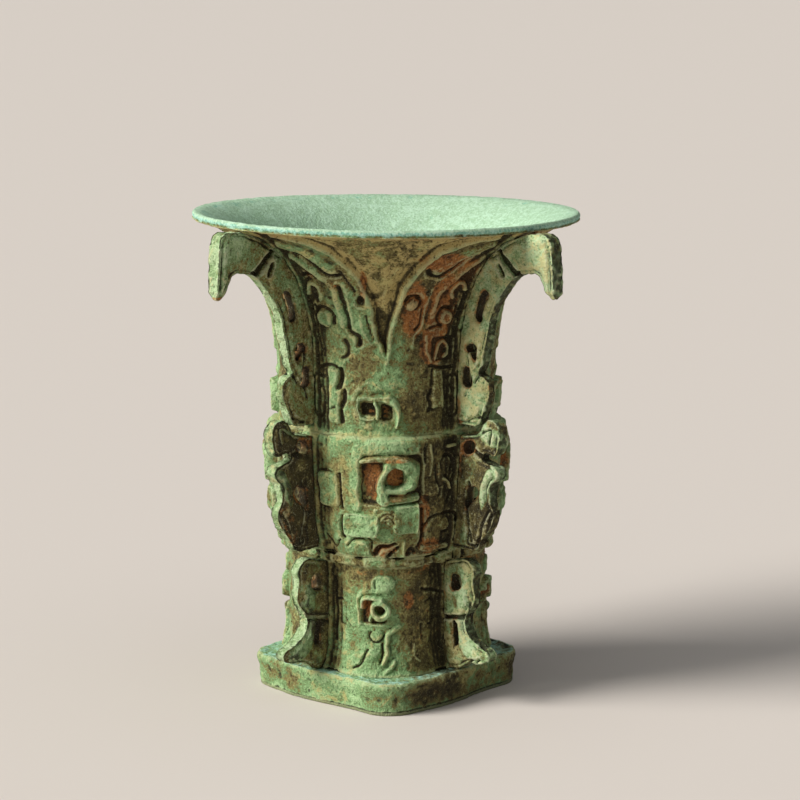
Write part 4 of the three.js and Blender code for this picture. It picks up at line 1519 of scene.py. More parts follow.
@dataclass
class Foot(Shell):
    """The foot: small curls on its corners, drips and folds running down onto the plinth."""

    name: str = "foot_shell"
    columns: int = 560
    rows: int = 110
    face: float = 16.2
    corner: float = 18.6
    flare: float = 1.4
    flare_height: float = 8.0
    wall: float = 2.2
    bore_face: float = 13.1
    bore_corner: float = 15.7
    spigot_depth: float = 2.4
    # Earth beside the curl and near the flanges, green round the claws.
    earth: tuple[Patch, ...] = (
        Patch((-10, 13), (3, 2)), Patch((13, 14.4), (4, 2), 0.75), Patch((0, 20.4), (40, 1.6), 0.6),
        Patch((-40, 10), (6, 10), 0.35), Patch((38, 10), (8, 8), 0.35), Patch((20, 11), (12, 9), 0.4),
    )
    fresh: tuple[Patch, ...] = (
        Patch((-2, 17.6), (6, 2), 0.8), Patch((-18, 9), (8, 5), 0.5), Patch((-12, 3), (14, 4), 0.7),
        Patch((10, 2), (10, 3), 0.7),
    )

    # What is on the corner, from the top down, then the fine lines towards the flanges.
    marks: tuple[Feature, ...] = (
        Pad((-1.6, 17.6), (2, 1.5), 0.55, 1.3), Mark(((-5.4, 18.2), (-5.3, 16.6)), 0.45, -0.45),
        Mark(((-15.4, 10.2), (-15.6, 13), (-14.2, 15.6), (-7, 16.2), (0, 16.2)), 0.9, 0.4),
        Pad((-7.6, 12.4), (2.5, 2.3), -0.7, 0.7), Boss((-5.5, 7.9), 1.25, 0.5),
        Mark(arc((-5.5, 7.9), (4.3, 1.4), 150, 200), 0.4, -0.45),
        Mark(((7.4, 9.6), (2.6, 8.4), (0.6, 7.4), (0.4, 5), (-1.4, 2.6)), 1, 0.6, 0.7),
        Mark(((-2.3, 6), (-2.2, 4.4), (-2.9, 2.9)), 0.5, -0.5), Boss((-8.2, 4.2), 1.3, 0.45),
        Mark(((-10.6, 5), (-13, 3.6), (-15.2, 2.1), (-19, 1.6)), 0.55, -0.5),
        Mark(((4.4, 3), (2.6, 1.8), (0.4, 1.1)), 0.7, 0.45),
        Mark(((16.3, 6), (16.4, 4.2), (19.9, 2.6)), 0.5, 0.4), Mark(((16.4, 4.2), (13.4, 3)), 0.45, 0.3),
        Mark(((22.8, 16.2), (28, 15.9), (32.8, 15.4), (39.4, 14.8)), 0.5, -0.45),
        Mark(((21.3, 9.6), (21.6, 6.9)), 0.4, -0.3),
        Mark(((25, 13.6), (32, 13.4), (32, 9.6), (27, 9.6), (27, 11.6)), 0.4, -0.25),
        Mark(((-34, 13.6), (-26, 13.4), (-26, 9.4), (-31, 9.4), (-31, 11.4)), 0.4, -0.25),
        Mark(((-26.5, 10.4), (-22, 9)), 0.4, -0.3), Mark(((-36, 17.4), (-35, 12), (-35.6, 6)), 0.5, -0.35),
    )

    def outside(self) -> Array:
        """Out onto the plinth at the bottom, upright above."""
        low, top = self.levels.plinth_top, self.levels.foot_top
        rows = [(self.flare * (1 - i / 4) ** 2, low + self.flare_height * i / 4) for i in range(5)]
        return offset_rows(self.face, self.corner, [*rows, (0, top)])

    def inside(self) -> Array:
        """Down the bore and round the ring that enters the plinth."""
        low = self.levels.plinth_top
        heights = np.linspace(self.levels.foot_top, low + 4, 8)
        wall = offset_rows(self.face, self.corner, [(-self.wall, z) for z in heights])
        return np.vstack([wall, spigot(self.bore_face, self.bore_corner, low, self.spigot_depth)])

    def relief(self, canvas: Canvas) -> Array:
        """Domes, rings, claws and folds."""
        return carve(self.marks, canvas, gutter(canvas, 0.4))


@dataclass
class Plinth(Shell):
    """The low rounded-square ring that the cup stands on."""

    name: str = "plinth_ring"
    columns: int = 400
    rows: int = 44
    lee: float = 0.8
    windward: float = 0.75
    corner: float = 24.8
    draft: float = 0.7
    edge: float = 0.6
    bore_face: float = 13.4
    bore_corner: float = 16.0
    # Green on the left of a corner, earth on its right.
    earth: tuple[Patch, ...] = (Patch((8, 4.6), (14, 1.2), 0.5), Patch((24, 4), (12, 2), 0.42))
    fresh: tuple[Patch, ...] = (Patch((-24, 3), (12, 6), 0.5), Patch((0, 7.5), (30, 1.2), 0.3))

    def outside(self) -> Array:
        """Up the side, over a rounded edge and in across the ledge."""
        top, face = self.levels.plinth_top, self.levels.plinth_face
        rows = [(-self.draft, 0.0), (-0.12, top - 1.2), (-0.12, top - self.edge), (-0.3, top - 0.2)]
        side = offset_rows(face, self.corner, [*rows, (-0.7, top)])
        return np.vstack([side, [face - 3.2, self.corner - 5.6, top]])

    def inside(self) -> Array:
        """Down the bore."""
        top = self.levels.plinth_top
        bore = offset_rows(self.bore_face, self.bore_corner, [(0, top), (0, top / 2), (0, 0.0)])
        return np.vstack([bore, [self.bore_face + 2, self.bore_corner + 3, 0.0]])

    def relief(self, canvas: Canvas) -> Array:
        """A slack hollow along the side and a thin bead at the ledge's edge."""
        side = -0.18 * np.exp(-(((canvas.up - 3.4) / 1.2) ** 2))
        bead = 0.16 * np.exp(-(((canvas.up - 6.2) / 0.5) ** 2))
        return (side + bead) * smooth(canvas.up / 0.6)

    def grime(self, straight: Canvas) -> Array:
        """A painted contact shadow along the bottom edge, and painted shade on the side, strongest round the
        corner and to its right.
        """
        around = smooth((straight.turn + 12) / 12) * smooth((50 - straight.turn) / 10)
        side = smooth((7.4 - straight.up) / 0.8)
        return 6.0 * smooth((1.0 - straight.up) / 0.6) + (0.56 * around + 0.26) * side

    def shifts(self, points: Array) -> Array:
        """The slack sides of the casting, fuller on the right of each corner."""
        angle = np.arctan2(points[:, 1], points[:, 0])
        reach = np.hypot(points[:, 0], points[:, 1])
        turn = nearest_turn(angle)
        fuller = 1.1 * np.sin(2 * turn) ** 2 + 0.6 * np.sin(4 * turn)
        out = (fuller * smooth((reach - 17) / 2))[:, None]
        return out * np.column_stack([np.cos(angle), np.sin(angle), np.zeros(len(points))])

    def mouth(self, shape: tuple[int, int]) -> Array:
        """A little of the smooth bloom on the ledge."""
        share = np.zeros(shape)
        share[:, self.rows - 14 : self.rows] = 0.4
        return share


@dataclass
class Floor(Shell):
    """The plate that closes the cup, seen as the step between foot and belly."""

    name: str = "cup_floor"
    slot: str = "earth_patina"
    finish: Patina = EARTH_PATINA
    columns: int = 300
    rows: int = 26
    rough: float = 0.2
    rim_face: float = 18.0
    rim_corner: float = 20.1
    lower_face: float = 13.7
    lower_corner: float = 16.1
    upper_face: float = 16.5
    upper_corner: float = 18.6
    boss: float = 1.2

    def relief(self, canvas: Canvas) -> Array:
        """Dents along the rim."""
        return -0.35 * smooth(np.sin(canvas.turn * 0.31) + 0.6 * np.sin(canvas.turn * 0.83 + 1.3))

    def outside(self) -> Array:
        """The rounded rim between foot and belly."""
        low, top = self.levels.foot_top, self.levels.belly_foot
        bend = np.linspace(-QUARTER_TURN, 0.4, 7)
        out = 0.9 * (np.cos(bend) - 1)
        rise = low + 0.9 + 0.9 * np.sin(bend)
        rim = offset_rows(self.rim_face, self.rim_corner, [*zip(out, rise), (0, top)])
        return np.vstack([[self.lower_face, self.lower_corner, low], rim])

    def inside(self) -> Array:
        """In over the upper boss to the middle, and back out under the lower one."""
        low, top = self.levels.foot_top, self.levels.belly_foot
        rows = [[self.upper_face, self.upper_corner, top]]
        for share in (1.0, 0.75, 0.5, 0.25, 0.0):
            rows.append([self.upper_face * share, self.upper_corner * share, top + self.boss])
        for share in (0.0, 0.25, 0.5, 0.75, 1.0):
            rows.append([self.lower_face * share, self.lower_corner * share, low - self.boss])
        return np.array(rows)


@dataclass
class CornerCasting:
    """A curled piece applied to each corner of a register, as a thick leaf of metal.

    Attributes:
        stem: The first part of the nodes' names.
        low: The lower left of the area that it covers, in degrees and millimetres up the outline.
        high: The upper right of that area.
        features: What stands proud in that area; the rest lies under the skin.
        tints: Its spots of earth.
        greens: Its spots of fresh green.
        sink: How deep its hidden rim lies under the skin.
        margin: How wide that rim is at least.
        step: The distance between its vertices in millimetres.
        finish: Its patina.
    """

    stem: str
    low: Place
    high: Place
    features: tuple[Feature, ...]
    tints: tuple[Patch, ...] = ()
    greens: tuple[Patch, ...] = ()
    sink: float = 0.9
    margin: float = 0.25
    step: float = 0.13
    finish: Patina = HORN_PATINA

    def build(self, shell: Shell) -> None:
        """Makes the four castings.

        Args:
            shell: The register that carries them.
        """
        middle = shell.outside()[:, 1].mean() * DEGREE
        columns = int((self.high[0] - self.low[0]) * middle / self.step)
        rows = int((self.high[1] - self.low[1]) / self.step)
        turns = np.linspace(self.low[0], self.high[0], columns)
        ups = np.linspace(self.low[1], self.high[1], rows)
        turn, up = (grid.ravel() for grid in np.meshgrid(turns, ups, indexing="ij"))
        straight = Canvas(turn, up, np.full(len(turn), middle))
        centre = ((self.low[0] + self.high[0]) / 2, (self.low[1] + self.high[1]) / 2)
        width, tall = (self.high[0] - self.low[0]) / 2 * middle, (self.high[1] - self.low[1]) / 2
        within = Pad(centre, (width - self.margin, tall - self.margin), 1.0).cover(straight)
        back_turn = np.repeat(turns, 2)
        back_up = np.tile([self.low[1], self.high[1]], columns)
        for corner in Corner:
            seat = shell.place(turn, up, np.zeros(len(turn)), corner.heading)
            canvas = straight.swayed(seat, shell.sway)
            height = carve(self.features, canvas, np.full(len(turn), -self.sink))
            height += 0.15 * CASTING.rough(seat, 2.1) + 0.08 * CASTING.at(seat, 0.55)
            height = -self.sink + (height + self.sink) * within
            front = shell.place(turn, up, height, corner.heading)
            back = shell.place(back_turn, back_up, np.full(len(back_up), -self.sink - 0.35), corner.heading)
            self.close(np.vstack([front, back]), rows, canvas, height, corner)

    def close(self, points: Array, rows: int, canvas: Canvas, height: Array, at: Corner) -> None:
        """Closes one casting behind and finishes it.

        Args:
            points: The vertices of its front, then the lower and upper end of each column of its back.
            rows: How many rows the front has.
            canvas: The front's unrolled vertices.
            height: Their heights over the skin.
            at: The corner that it stands on.
        """
        number = np.arange(len(height)).reshape(-1, rows)
        hidden = len(height) + np.arange(len(points) - len(height)).reshape(-1, 2)
        strips = [
            (number[:-1, :-1], number[1:, :-1], number[1:, 1:], number[:-1, 1:]),
            (hidden[:-1, 0], hidden[:-1, 1], hidden[1:, 1], hidden[1:, 0]),
            (number[:-1, 0], hidden[:-1, 0], hidden[1:, 0], number[1:, 0]),
            (number[:-1, -1], number[1:, -1], hidden[1:, 1], hidden[:-1, 1]),
        ]
        faces = [quad for strip in strips for quad in np.stack(strip, axis=-1).reshape(-1, 4).tolist()]
        for end in (0, -1):
            faces.append([*number[end].tolist(), int(hidden[end, 1]), int(hidden[end, 0])])
        node = f"{self.stem}_{at.word}"
        mesh = bpy.data.meshes.new(node)
        mesh.from_pydata((points * MM).tolist(), [], faces)
        # Less powder to the right of the corner is painted shade, and the sunk parts are darkened with dirt
        # and painted shade.
        layers = {
            "earth": np.maximum(stained(self.tints, canvas), 0.5 * np.clip((0.2 - height) / 0.8, 0, 1)),
            "bloom": stained(self.greens, canvas) - 0.5 * smooth((canvas.turn - 5) / 14),
            "rise": np.clip(height / 1.1, -1, 1.2),
            "pit": 0.5 * np.clip((-height - 0.1) / 0.6, 0, 1),
        }
        for name, values in layers.items():
            set_attribute(mesh, name, np.append(values, np.zeros(hidden.size)))
        finished_piece(mesh, self.finish, node)


# The squared curl below a field's tip: a top bar whose arm hooks down, with a post inside it.
NECK_HORN = CornerCasting(
    "neck_horn", (-15.8, 1.2), (10.5, 9.4),
    (
        Mark(((-13.8, 7), (-14.1, 5.3), (-13.2, 4)), 0.7, 0.6, 1, 0.6),
        Mark(((-13, 3.7), (-9, 3.4), (-6.2, 3.7)), 0.9, 0.6, 0.8, 0.7),
        Mark(((-13.4, 7.3), (-8, 7.5), (-1, 7.4), (3.6, 7.2)), 1.1, 0.85, 1.3, 0.8),
        Mark(((-5.2, 6.6), (-4, 5.4), (-4.4, 3.8)), 1, 1, 0.8, 0.6),
        Mark(((1.6, 7.2), (4.8, 6.3), (6.2, 4.9), (6.2, 3.5), (5.2, 1.9)), 2, 1.55, 0.35, 1.1),
        Mark(((0.8, 7.5), (4, 7.2), (6.4, 6.2)), 0.4, -0.3),
    ),
    tints=(Patch((-9, 5.4), (3.4, 1.6)), Patch((0, 4.8), (2.2, 1.4), 0.7), Patch((-6, 7.4), (7, 0.5), 0.6)),
    greens=(Patch((-4, 8.8), (9, 0.8), 0.8), Patch((5, 5), (3, 2.4), 0.7)),
)
# The framed spiral on the belly: a bar over the top, round a hole, with a tail, on a wrinkled foot.
BELLY_HORN = CornerCasting(
    "belly_horn", (-13.8, 10.0), (19.0, 20.3),
    (
        Mark(((-11.4, 18.5), (-6, 18.9), (2, 19), (8, 18.6)), 1.2, 0.8, 1.2, 0.8),
        Mark(((1, 17.6), (5.4, 18.2), (9.6, 17.6)), 1.7, 1.15, 1.2, 1.1),
        Mark(((8.6, 17.4), (12.6, 16.6), (13.4, 15.2), (11.8, 13.8), (7.6, 12.9)), 2.9, 1.45, 0.4, 1.7),
        Mark(((8, 12.9), (3.6, 12.7), (1, 12.9)), 1, 1, 1.2, 0.8),
        Mark(((2.4, 17.4), (-0.4, 16.2), (-2, 14.6), (-2.2, 13), (-0.4, 11.2)), 1.05, 1.35, 1.7, 0.8),
        Mark(((-2.4, 11.4), (4, 11.3), (14.4, 11.6)), 1.5, 0.72, 1, 0.7),
        Mark(((1, 12), (7, 11.8), (14, 12.3)), 0.35, -0.35),
        Mark(((0, 11), (6, 11), (12, 11.2)), 0.25, -0.25),
        Pad((5.6, 15.3), (1.2, 1.75), -2.4, 1.2, -0.1, 0.5),
        Mark(((10.4, 17), (13, 15.4), (11, 13.8)), 0.35, -0.22, 1, 0.5),
    ),
    tints=(
        Patch((-7, 16), (4.4, 3.4), 0.95), Patch((5, 15.4), (2.8, 1.5)), Patch((3, 19), (9, 0.7), 0.7),
        Patch((8, 11.6), (8, 0.8), 0.6),
    ),
    greens=(Patch((12, 15), (5, 4), 0.8), Patch((-1, 12.4), (3, 1.6), 0.7)),
)
# The block below the spiral, notched round a wrinkled nose, with a sharp right edge.
BELLY_SNOUT = CornerCasting(
    "belly_snout", (-24.4, 3.8), (17.6, 11.0),
    (
        Pad((-12.6, 6.5), (3.5, 2.3), 0.78, 0.8, 0.1, 0.7), Pad((9.6, 7.7), (2.1, 2.7), 0.8, 0.7, 0, 0.7),
        Mark(((-5.4, 9.4), (0, 9.9), (6, 9.8)), 1, 0.55, 1, 0.7),
        Mark(((-3, 8.4), (0.6, 8.9), (4, 7.8)), 2.6, 0.5, 1, 1.4), Boss((0.6, 7.2), 2.4, 0.7),
        Mark(arc((1.4, 6.8), (5.2, 2.2), 40, 130), 0.35, -0.35),
        Mark(arc((1.2, 6.8), (3.6, 1.5), 20, 150), 0.3, -0.35),
        Mark(arc((1.2, 6.8), (2.1, 0.8), 0, 180), 0.28, -0.35),
        Mark(((15, 10.2), (15.4, 8), (15, 5.4)), 0.55, 1.25, 0.9, 0.6),
        Pad((10, 8.2), (1.2, 1.7), -0.16, 0.6, 0, 0.9), Mark(((-17.4, 8.2), (-12, 8.4)), 0.3, -0.22),
    ),
    tints=(Patch((1.3, 7.4), (4, 2), 0.55), Patch((5, 4.6), (4, 0.8), 0.4)),
    greens=(Patch((-12.6, 6.6), (8, 2.6), 0.45), Patch((9, 9.6), (5, 1.4), 0.4)),
)
# The small ringed curl on the foot.
FOOT_HORN = CornerCasting(
    "foot_horn", (-15.6, 9.6), (3.8, 16.0),
    (
        Mark(((-13.4, 13.2), (-12.2, 14.6), (-7, 14.9), (-2.6, 14.6)), 0.95, 1.2, 1, 0.7),
        Mark(arc((-3.1, 12.7), (4.2, 1.5), 110, -360), 1.25, 1.35, 1, 0.8), Boss((-3.1, 12.7), 0.95, -1.9),
        Mark(((-9.2, 10.6), (-8, 11.8)), 0.7, 0.6, 1, 0.6),
    ),
    tints=(Patch((-10.5, 13.2), (3, 1.5)), Patch((-3.1, 12.7), (2, 0.8), 0.5)),
    step=0.12,
)


def islands(count: int, edges: Array, chosen: Array) -> Array:
    """Labels that are alike where chosen vertices hang together.

    Args:
        count: How many vertices there are.
        edges: Pairs of vertex numbers.
        chosen: True for each vertex that counts.

    Returns:
        One label for each vertex.
    """
    label = np.arange(count)
    pairs = edges[chosen[edges].all(axis=1)]
    settled = False
    while not settled:
        before = label.copy()
        lower = np.minimum(label[pairs[:, 0]], label[pairs[:, 1]])
        np.minimum.at(label, pairs[:, 0], lower)
        np.minimum.at(label, pairs[:, 1], lower)
        label = label[label]
        settled = bool((label == before).all())
    return label


def distances(points: Array, targets: Array, wanted: Array) -> Array:
    """How far points lie from the nearest target, seen square to the plate.

    Args:
        points: Rows of x, y and z in millimetres.
        targets: True for each point that is a target.
        wanted: True for each point whose distance is asked for; the others get 0.

    Returns:
        The distances.
    """
    flat = points * np.array([1, 0, 1])
    tree = KDTree(int(targets.sum()))
    for i, point in enumerate(flat[targets]):
        tree.insert(point, i)
    tree.balance()
    away = np.zeros(len(points))
    away[wanted] = [tree.find(point)[2] for point in flat[wanted]]
    return away


@dataclass
class Flange:
    """A pierced plate down the middle of each face, made from the frame's own plate.

    Attributes:
        register: The first part of the nodes' names.
        voxel: The size of the grid that rounds the plate, in millimetres.
        grooves: Lines cut in its sides, by distance from the axis and height.
        swells: Lines along which the whole plate is thicker, or thinner when below 0, as a share.
        bevel: How much the sides fall towards the outer edge, in millimetres.
        bevel_width: How wide that fall is.
        powder: How thick the powder lies on the sides, away from the swells.
        crust: How far the yellowish crust covers the left sides.
        darkening: How dark the left sides are made away from the swells.
        finish: Its patina.
    """

    register: str
    voxel: float = 0.2
    grooves: tuple[Mark, ...] = ()
    swells: tuple[Mark, ...] = ()
    bevel: float = 0.35
    bevel_width: float = 1.5
    powder: float = 0.45
    crust: float = 0.45
    grime: float = 0.0
    finish: Patina = FLANGE_PATINA

    def build(self, shell: Shell) -> None:
        """Rounds the plate of the right-hand face, cuts its sides, and makes all four.

        Args:
            shell: The register that carries the plate.
        """
        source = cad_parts[f"{self.register}_flange_right"].data.copy()
        shape = bmesh.new()
        shape.from_mesh(source)
        bmesh.ops.remove_doubles(shape, verts=shape.verts, dist=1e-7)
        shape.to_mesh(source)
        shape.free()
        holder = placed(self.register + "_plate", source)
        remesh = holder.modifiers.new("Round", "REMESH")
        remesh.mode = "VOXEL"
        remesh.voxel_size = self.voxel * MM
        eased = holder.modifiers.new("Ease", "SMOOTH")
        eased.factor = 0.5
        eased.iterations = 7
        rounded = evaluated_mesh(holder, self.register + "_flange")
        bpy.data.objects.remove(holder)
        carved, layers, edge = self.carve_sides(rounded, shell)
        for side in Side:
            self.finish_one(rounded, carved, layers, edge, side)

    def carve_sides(self, mesh: bpy.types.Mesh, shell: Shell) -> tuple[Array, Layers, Array]:
        """Cuts the sides: a fall to the outer edge, a seam beside it, dishes round the openings.

        Args:
            mesh: The rounded plate.
            shell: The register that carries it.

        Returns:
            Its vertices, its layers of earth and powder, and which vertices lie on an edge.
        """
        points = positions(mesh)
        half = np.abs(points[:, 1]).max()
        on_side = np.abs(points[:, 1]) > half - 0.25
        # The outer edge, and the walls of the openings.
        label = islands(len(points), edge_pairs(mesh), ~on_side)
        outline = resampled(shell.outside(), 120)
        root = points[:, 0] - np.interp(points[:, 2], outline[:, 2], outline[:, 0])
        rim = ~on_side & (label == label[np.argmax(points[:, 0])])
        hole = ~on_side & ~rim
        from_rim = distances(points, rim & (root > 0.5), on_side)
        from_hole = distances(points, hole, on_side)
        # How deep the sides are cut, and where the whole plate swells or thins.
        canvas = Canvas(points[:, 0], points[:, 2], np.ones(len(points))).swayed(points, 0.2)
        whole = smooth(0.75 + 1.3 * CASTING.at(points, 3.1))
        seam = 0.34 * np.exp(-(((from_rim - 0.55) / 0.2) ** 2)) * whole
        cut = self.bevel * (1 - smooth(from_rim / self.bevel_width)) + seam
        cut += 0.22 * (1 - smooth(from_hole / 0.8))
        for line in self.grooves:
            cut += line.height * line.cover(canvas)
        cut *= on_side
        carved = points.copy()
        carved[:, 1] -= np.sign(points[:, 1]) * cut
        swollen = np.zeros(len(points))
        for swell in self.swells:
            cover = swell.height * swell.cover(canvas)
            carved[:, 1] *= 1 + cover
            swollen += cover
        # What lies on the plate: its anticlockwise side gets painted shade, with less powder and more
        # darkening; the hooks on its other side get more powder as a painted highlight; the openings' walls
        # and the deep cuts are darkened with dirt and painted shade.
        near_hole = np.where(hole, 0.6, np.where(on_side, 0.7 * (1 - smooth(from_hole / 0.9)), 0.0))
        near_root = 0.5 * (1 - smooth((root - 0.6) / 1.6))
        lee = (on_side & (points[:, 1] > 0)).astype(float)
        lit = 1 - lee
        proud = np.clip(5 * swollen, 0, 1)
        thin = np.clip(-2.0 * swollen, 0, 0.6)
        plain = on_side * (1 - proud)
        inner = smooth((half - 0.2 - np.abs(points[:, 1])) / 0.6)
        # A painted highlight: more powder on the hooks of the lit side.
        hook = plain * smooth((points[:, 0] - 34.5) / 2.5) * lit
        powder = np.where(on_side, proud * (1.2 - self.powder) + self.powder, 0.2)
        layers = {
            "earth": np.maximum(near_hole, near_root) * (1 - 0.3 * lee) + thin + 0.1 * lee,
            "rise": np.where(rim, 0.4, np.where(hole, -1.0, 0.5)),
            "bloom": powder - 0.9 * lee + 1.1 * hook,
            "sand": np.where(on_side & (points[:, 1] < 0), self.crust, 0.0),
            "pit": np.where(hole, inner, smooth((cut - 0.45) / 0.4)) + 0.24 * lee + self.grime * plain * lit,
        }
        return carved, layers, rim.astype(float)

    def finish_one(
        self, rounded: bpy.types.Mesh, carved: Array, layers: Layers, edge: Array, side: Side
    ) -> None:
        """Turns a plate to its face, roughens it and finishes it.

        Args:
            rounded: The mesh whose faces it takes.
            carved: Its vertices at the right-hand face.
            layers: Its layers of earth and powder.
            edge: 1 for each vertex on the outer edge, which is rougher.
            side: The face that it stands on.
        """
        mesh = rounded.copy()
        points = rotated(carved, side.value * QUARTER_TURN)
        if self.register == "neck":
            points += 0.5 * mouth_warp(points) * smooth((points[:, 2:] - 80) / 7)
        set_positions(mesh, points)
        normals = rows_of(mesh.vertex_normals, "vector", 3)
        coarse = (0.14 + 0.08 * edge) * CASTING.rough(points, 2.1)
        fine = (0.06 + 0.08 * edge) * CASTING.at(points, 0.7)
        set_positions(mesh, points + normals * (coarse + fine)[:, None])
        patchy = smooth(STAIN.at(points, 5) * 0.9 + 0.1)
        set_attribute(mesh, "earth", np.clip(layers["earth"] + 0.3 * patchy, 0, 1.2))
        set_attribute(mesh, "rise", layers["rise"])
        # Painted light on outer edges turned to the window light, and painted shade on those turned away.
        facing_light = exposure(side.value * QUARTER_TURN)
        bloom = 0.5 * smooth(STAIN.at(points + 40, 6) * 1.1) + 0.8 * facing_light * edge
        set_attribute(mesh, "bloom", layers["bloom"] + bloom)
        set_attribute(mesh, "pit", layers["pit"] + min(2.2 * max(-facing_light, 0), 1.0) * edge)
        set_attribute(mesh, "sand", layers["sand"])
        finished_piece(mesh, self.finish, f"{self.register}_flange_{side.word}")


def groove(points: Path, width: float, depth: float = 0.5) -> Mark:
    """A line cut in a flange's side, by distance from the axis and height, in millimetres."""
    return Mark(points, width, depth, 1.0, 0.4)


NECK_FLANGE = Flange(
    "neck",
    grooves=(
        Mark(((28.8, 85.8), (31.4, 83.5), (34.8, 80.3)), 0.7, 1.15, 2.4, 0.4),
        Mark(((29.8, 82.6), (30.7, 81)), 0.9, 1, 1, 0.4), groove(((24.2, 60.8), (24.9, 62.2)), 0.4),
        groove(((21.6, 58), (22.6, 62), (22, 66)), 0.5, 0.4),
        groove(((22.4, 53.6), (25.4, 54.4), (27.6, 53.6)), 0.5),
    ),
    swells=(
        Mark(((39, 88.3), (41.2, 87.2), (42.2, 84), (42.2, 79.4)), 3.2, 0.26, 1, 2),
        Mark(((39.6, 77.4), (43.4, 77.4)), 1.6, -0.5, 1, 1.4),
        Mark(((27.6, 60), (28, 56), (26.8, 52), (25.8, 49)), 2.4, -0.3, 1, 2.2),
        Mark(((29.4, 75.4), (28.2, 73.6), (28.6, 72.6)), 0.7, -0.4, 1, 0.8),
    ),
)
BELLY_FLANGE = Flange(
    "belly",
    powder=-1.2,
    crust=0.0,
    grime=0.6,
    grooves=(
        groove(((24.4, 48.2), (27.2, 46.8), (30.8, 47.6)), 0.9, 0.8),
        groove(((22.8, 42.4), (22.2, 36.6), (23.2, 31.4)), 0.6),
        groove(((29.6, 41.4), (28.4, 37.4), (26.8, 33.4)), 0.5, 0.45),
        groove(((27.2, 37.4), (25.8, 34.4), (24.8, 31.6)), 0.5),
        groove(((22.6, 33.6), (22.6, 30.6), (25.6, 31)), 0.5),
        groove(((26.2, 51.8), (28.4, 52.6), (28, 50.2)), 0.5),
    ),
    swells=(
        Mark(((21.4, 51.6), (25.6, 52.4), (29.4, 50.8)), 3, 0.16, 1, 1.1),
        Mark(((28.8, 44.4), (27, 41.6), (25.9, 37.8)), 2.8, 0.26, 0.3, 0.9),
        Mark(((27, 36), (25.4, 32.4)), 5, -0.2, 1, 2.4), Mark(((31.4, 52), (31.2, 47)), 1.6, -0.3, 1, 1.6),
    ),
)
FOOT_FLANGE = Flange(
    "foot",
    powder=0.0,
    crust=0.3,
    grime=0.25,
    grooves=(
        Mark(((16.4, 15.6), (19, 16), (22.6, 16.9)), 0.7, 0.95, 1.5, 0.4),
        groove(((22.6, 20.6), (23.4, 15), (25.4, 11.6)), 0.6, 0.4), groove(((24.4, 8.2), (25.6, 9.4)), 0.4),
        groove(((22.8, 7.9), (24, 9)), 0.4),
    ),
    swells=(
        Mark(((18.4, 21.6), (21.2, 21.6), (21.4, 18.6)), 2.4, 0.2, 1, 0.9),
        Mark(((20.2, 15), (21.6, 12.2), (25, 8.9)), 2.8, 0.22, 1, 1),
        Mark(((24.6, 22), (24.8, 15)), 2.4, -0.25, 1, 1.6),
    ),
)


class CrustTree(ShapeTree):
    """A tree that strews small lumps of crust over a surface, most of all in its hollows."""

    SMALLEST = 0.12
    LARGEST = 0.3

    def __init__(self) -> None:
        """Builds the tree."""
        sizes = {"Density": "Float", "Smallest": "Float", "Largest": "Float", "Seed": "Int"}
        super().__init__("crust_grains", {"Surface": "Object", **sizes})

    def build(self) -> None:
        """Strews points, and puts a turned lump of a chance size on each."""
        given = self.given
        surface = self.node("GeometryNodeObjectInfo", {"Object": given["Surface"]})
        layer = {"Name": "basin"}
        basin = self.number("Attribute", "GeometryNodeInputNamedAttribute", layer, data_type="FLOAT")
        density = basin.ramp(-0.05, 0.5) * Number(self, given["Density"])
        spread = {"Mesh": surface.outputs["Geometry"], "Seed": given["Seed"], "Density": density}
        strewn = self.node("GeometryNodeDistributePointsOnFaces", spread)
        lump = self.node("GeometryNodeMeshIcoSphere", {"Radius": 1.0, "Subdivisions": 1})
        span = {2: given["Smallest"], 3: given["Largest"], "Seed": given["Seed"]}
        size = self.node("FunctionNodeRandomValue", span, data_type="FLOAT")
        whole_turns = {1: (2 * math.pi,) * 3, "Seed": given["Seed"]}
        spin = self.node("FunctionNodeRandomValue", whole_turns, data_type="FLOAT_VECTOR")
        copies = {"Points": strewn.outputs["Points"], "Instance": lump.outputs["Mesh"]}
        copies |= {"Rotation": spin.outputs[0], "Scale": size.outputs[1]}
        self.finish(self.node("GeometryNodeInstanceOnPoints", copies).outputs["Instances"])

    def strew(self, surface: str, density: float, seed: int) -> None:
        """Strews grains over one piece.

        Args:
            surface: The piece's name.
            density: Grains on a square centimetre of deep hollow.
            seed: The start of the random numbers.
        """
        values = {"Surface": bpy.data.objects[surface], "Density": density * SQUARE_CENTIMETRES_IN_METRE}
        values |= {"Smallest": self.SMALLEST * MM, "Largest": self.LARGEST * MM, "Seed": seed}
        mesh = self.grown(f"{surface}_grains", EARTH_PATINA, values)
        for face in mesh.polygons:
            face.use_smooth = True
        piece = placed(f"{surface}_grains", mesh)
        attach(piece, ROOT_BODY)
        LOG.info("%s: %d faces", piece.name, len(mesh.polygons))


@dataclass(frozen=True)
class Lamp:
    """A broad distant lamp.

    Attributes:
        name: Its name.
        strength: Its strength.
        softness: How wide it looks from the cup, in degrees.
        side: How far round from the camera's side it stands, in degrees, to the left below 0.
        tilt: How high it stands, in degrees.
        colour: Its colour.
    """

    name: str
    strength: float
    softness: float
    side: float
    tilt: float
    colour: Colour

    def build(self, azimuth: float) -> None:
        """Hangs the lamp.

        Args:
            azimuth: The camera's side, in degrees.
        """
        data = bpy.data.lights.new(self.name, "SUN")
        data.energy = self.strength
        data.angle = self.softness * DEGREE
        data.color = self.colour
        heading, rise = (azimuth + self.side) * DEGREE, self.tilt * DEGREE
        level = math.cos(rise)
        toward = Vector((math.sin(heading) * level, -math.cos(heading) * level, math.sin(rise)))
        placed(self.name, data).rotation_euler = toward.to_track_quat("Z", "Y").to_euler()


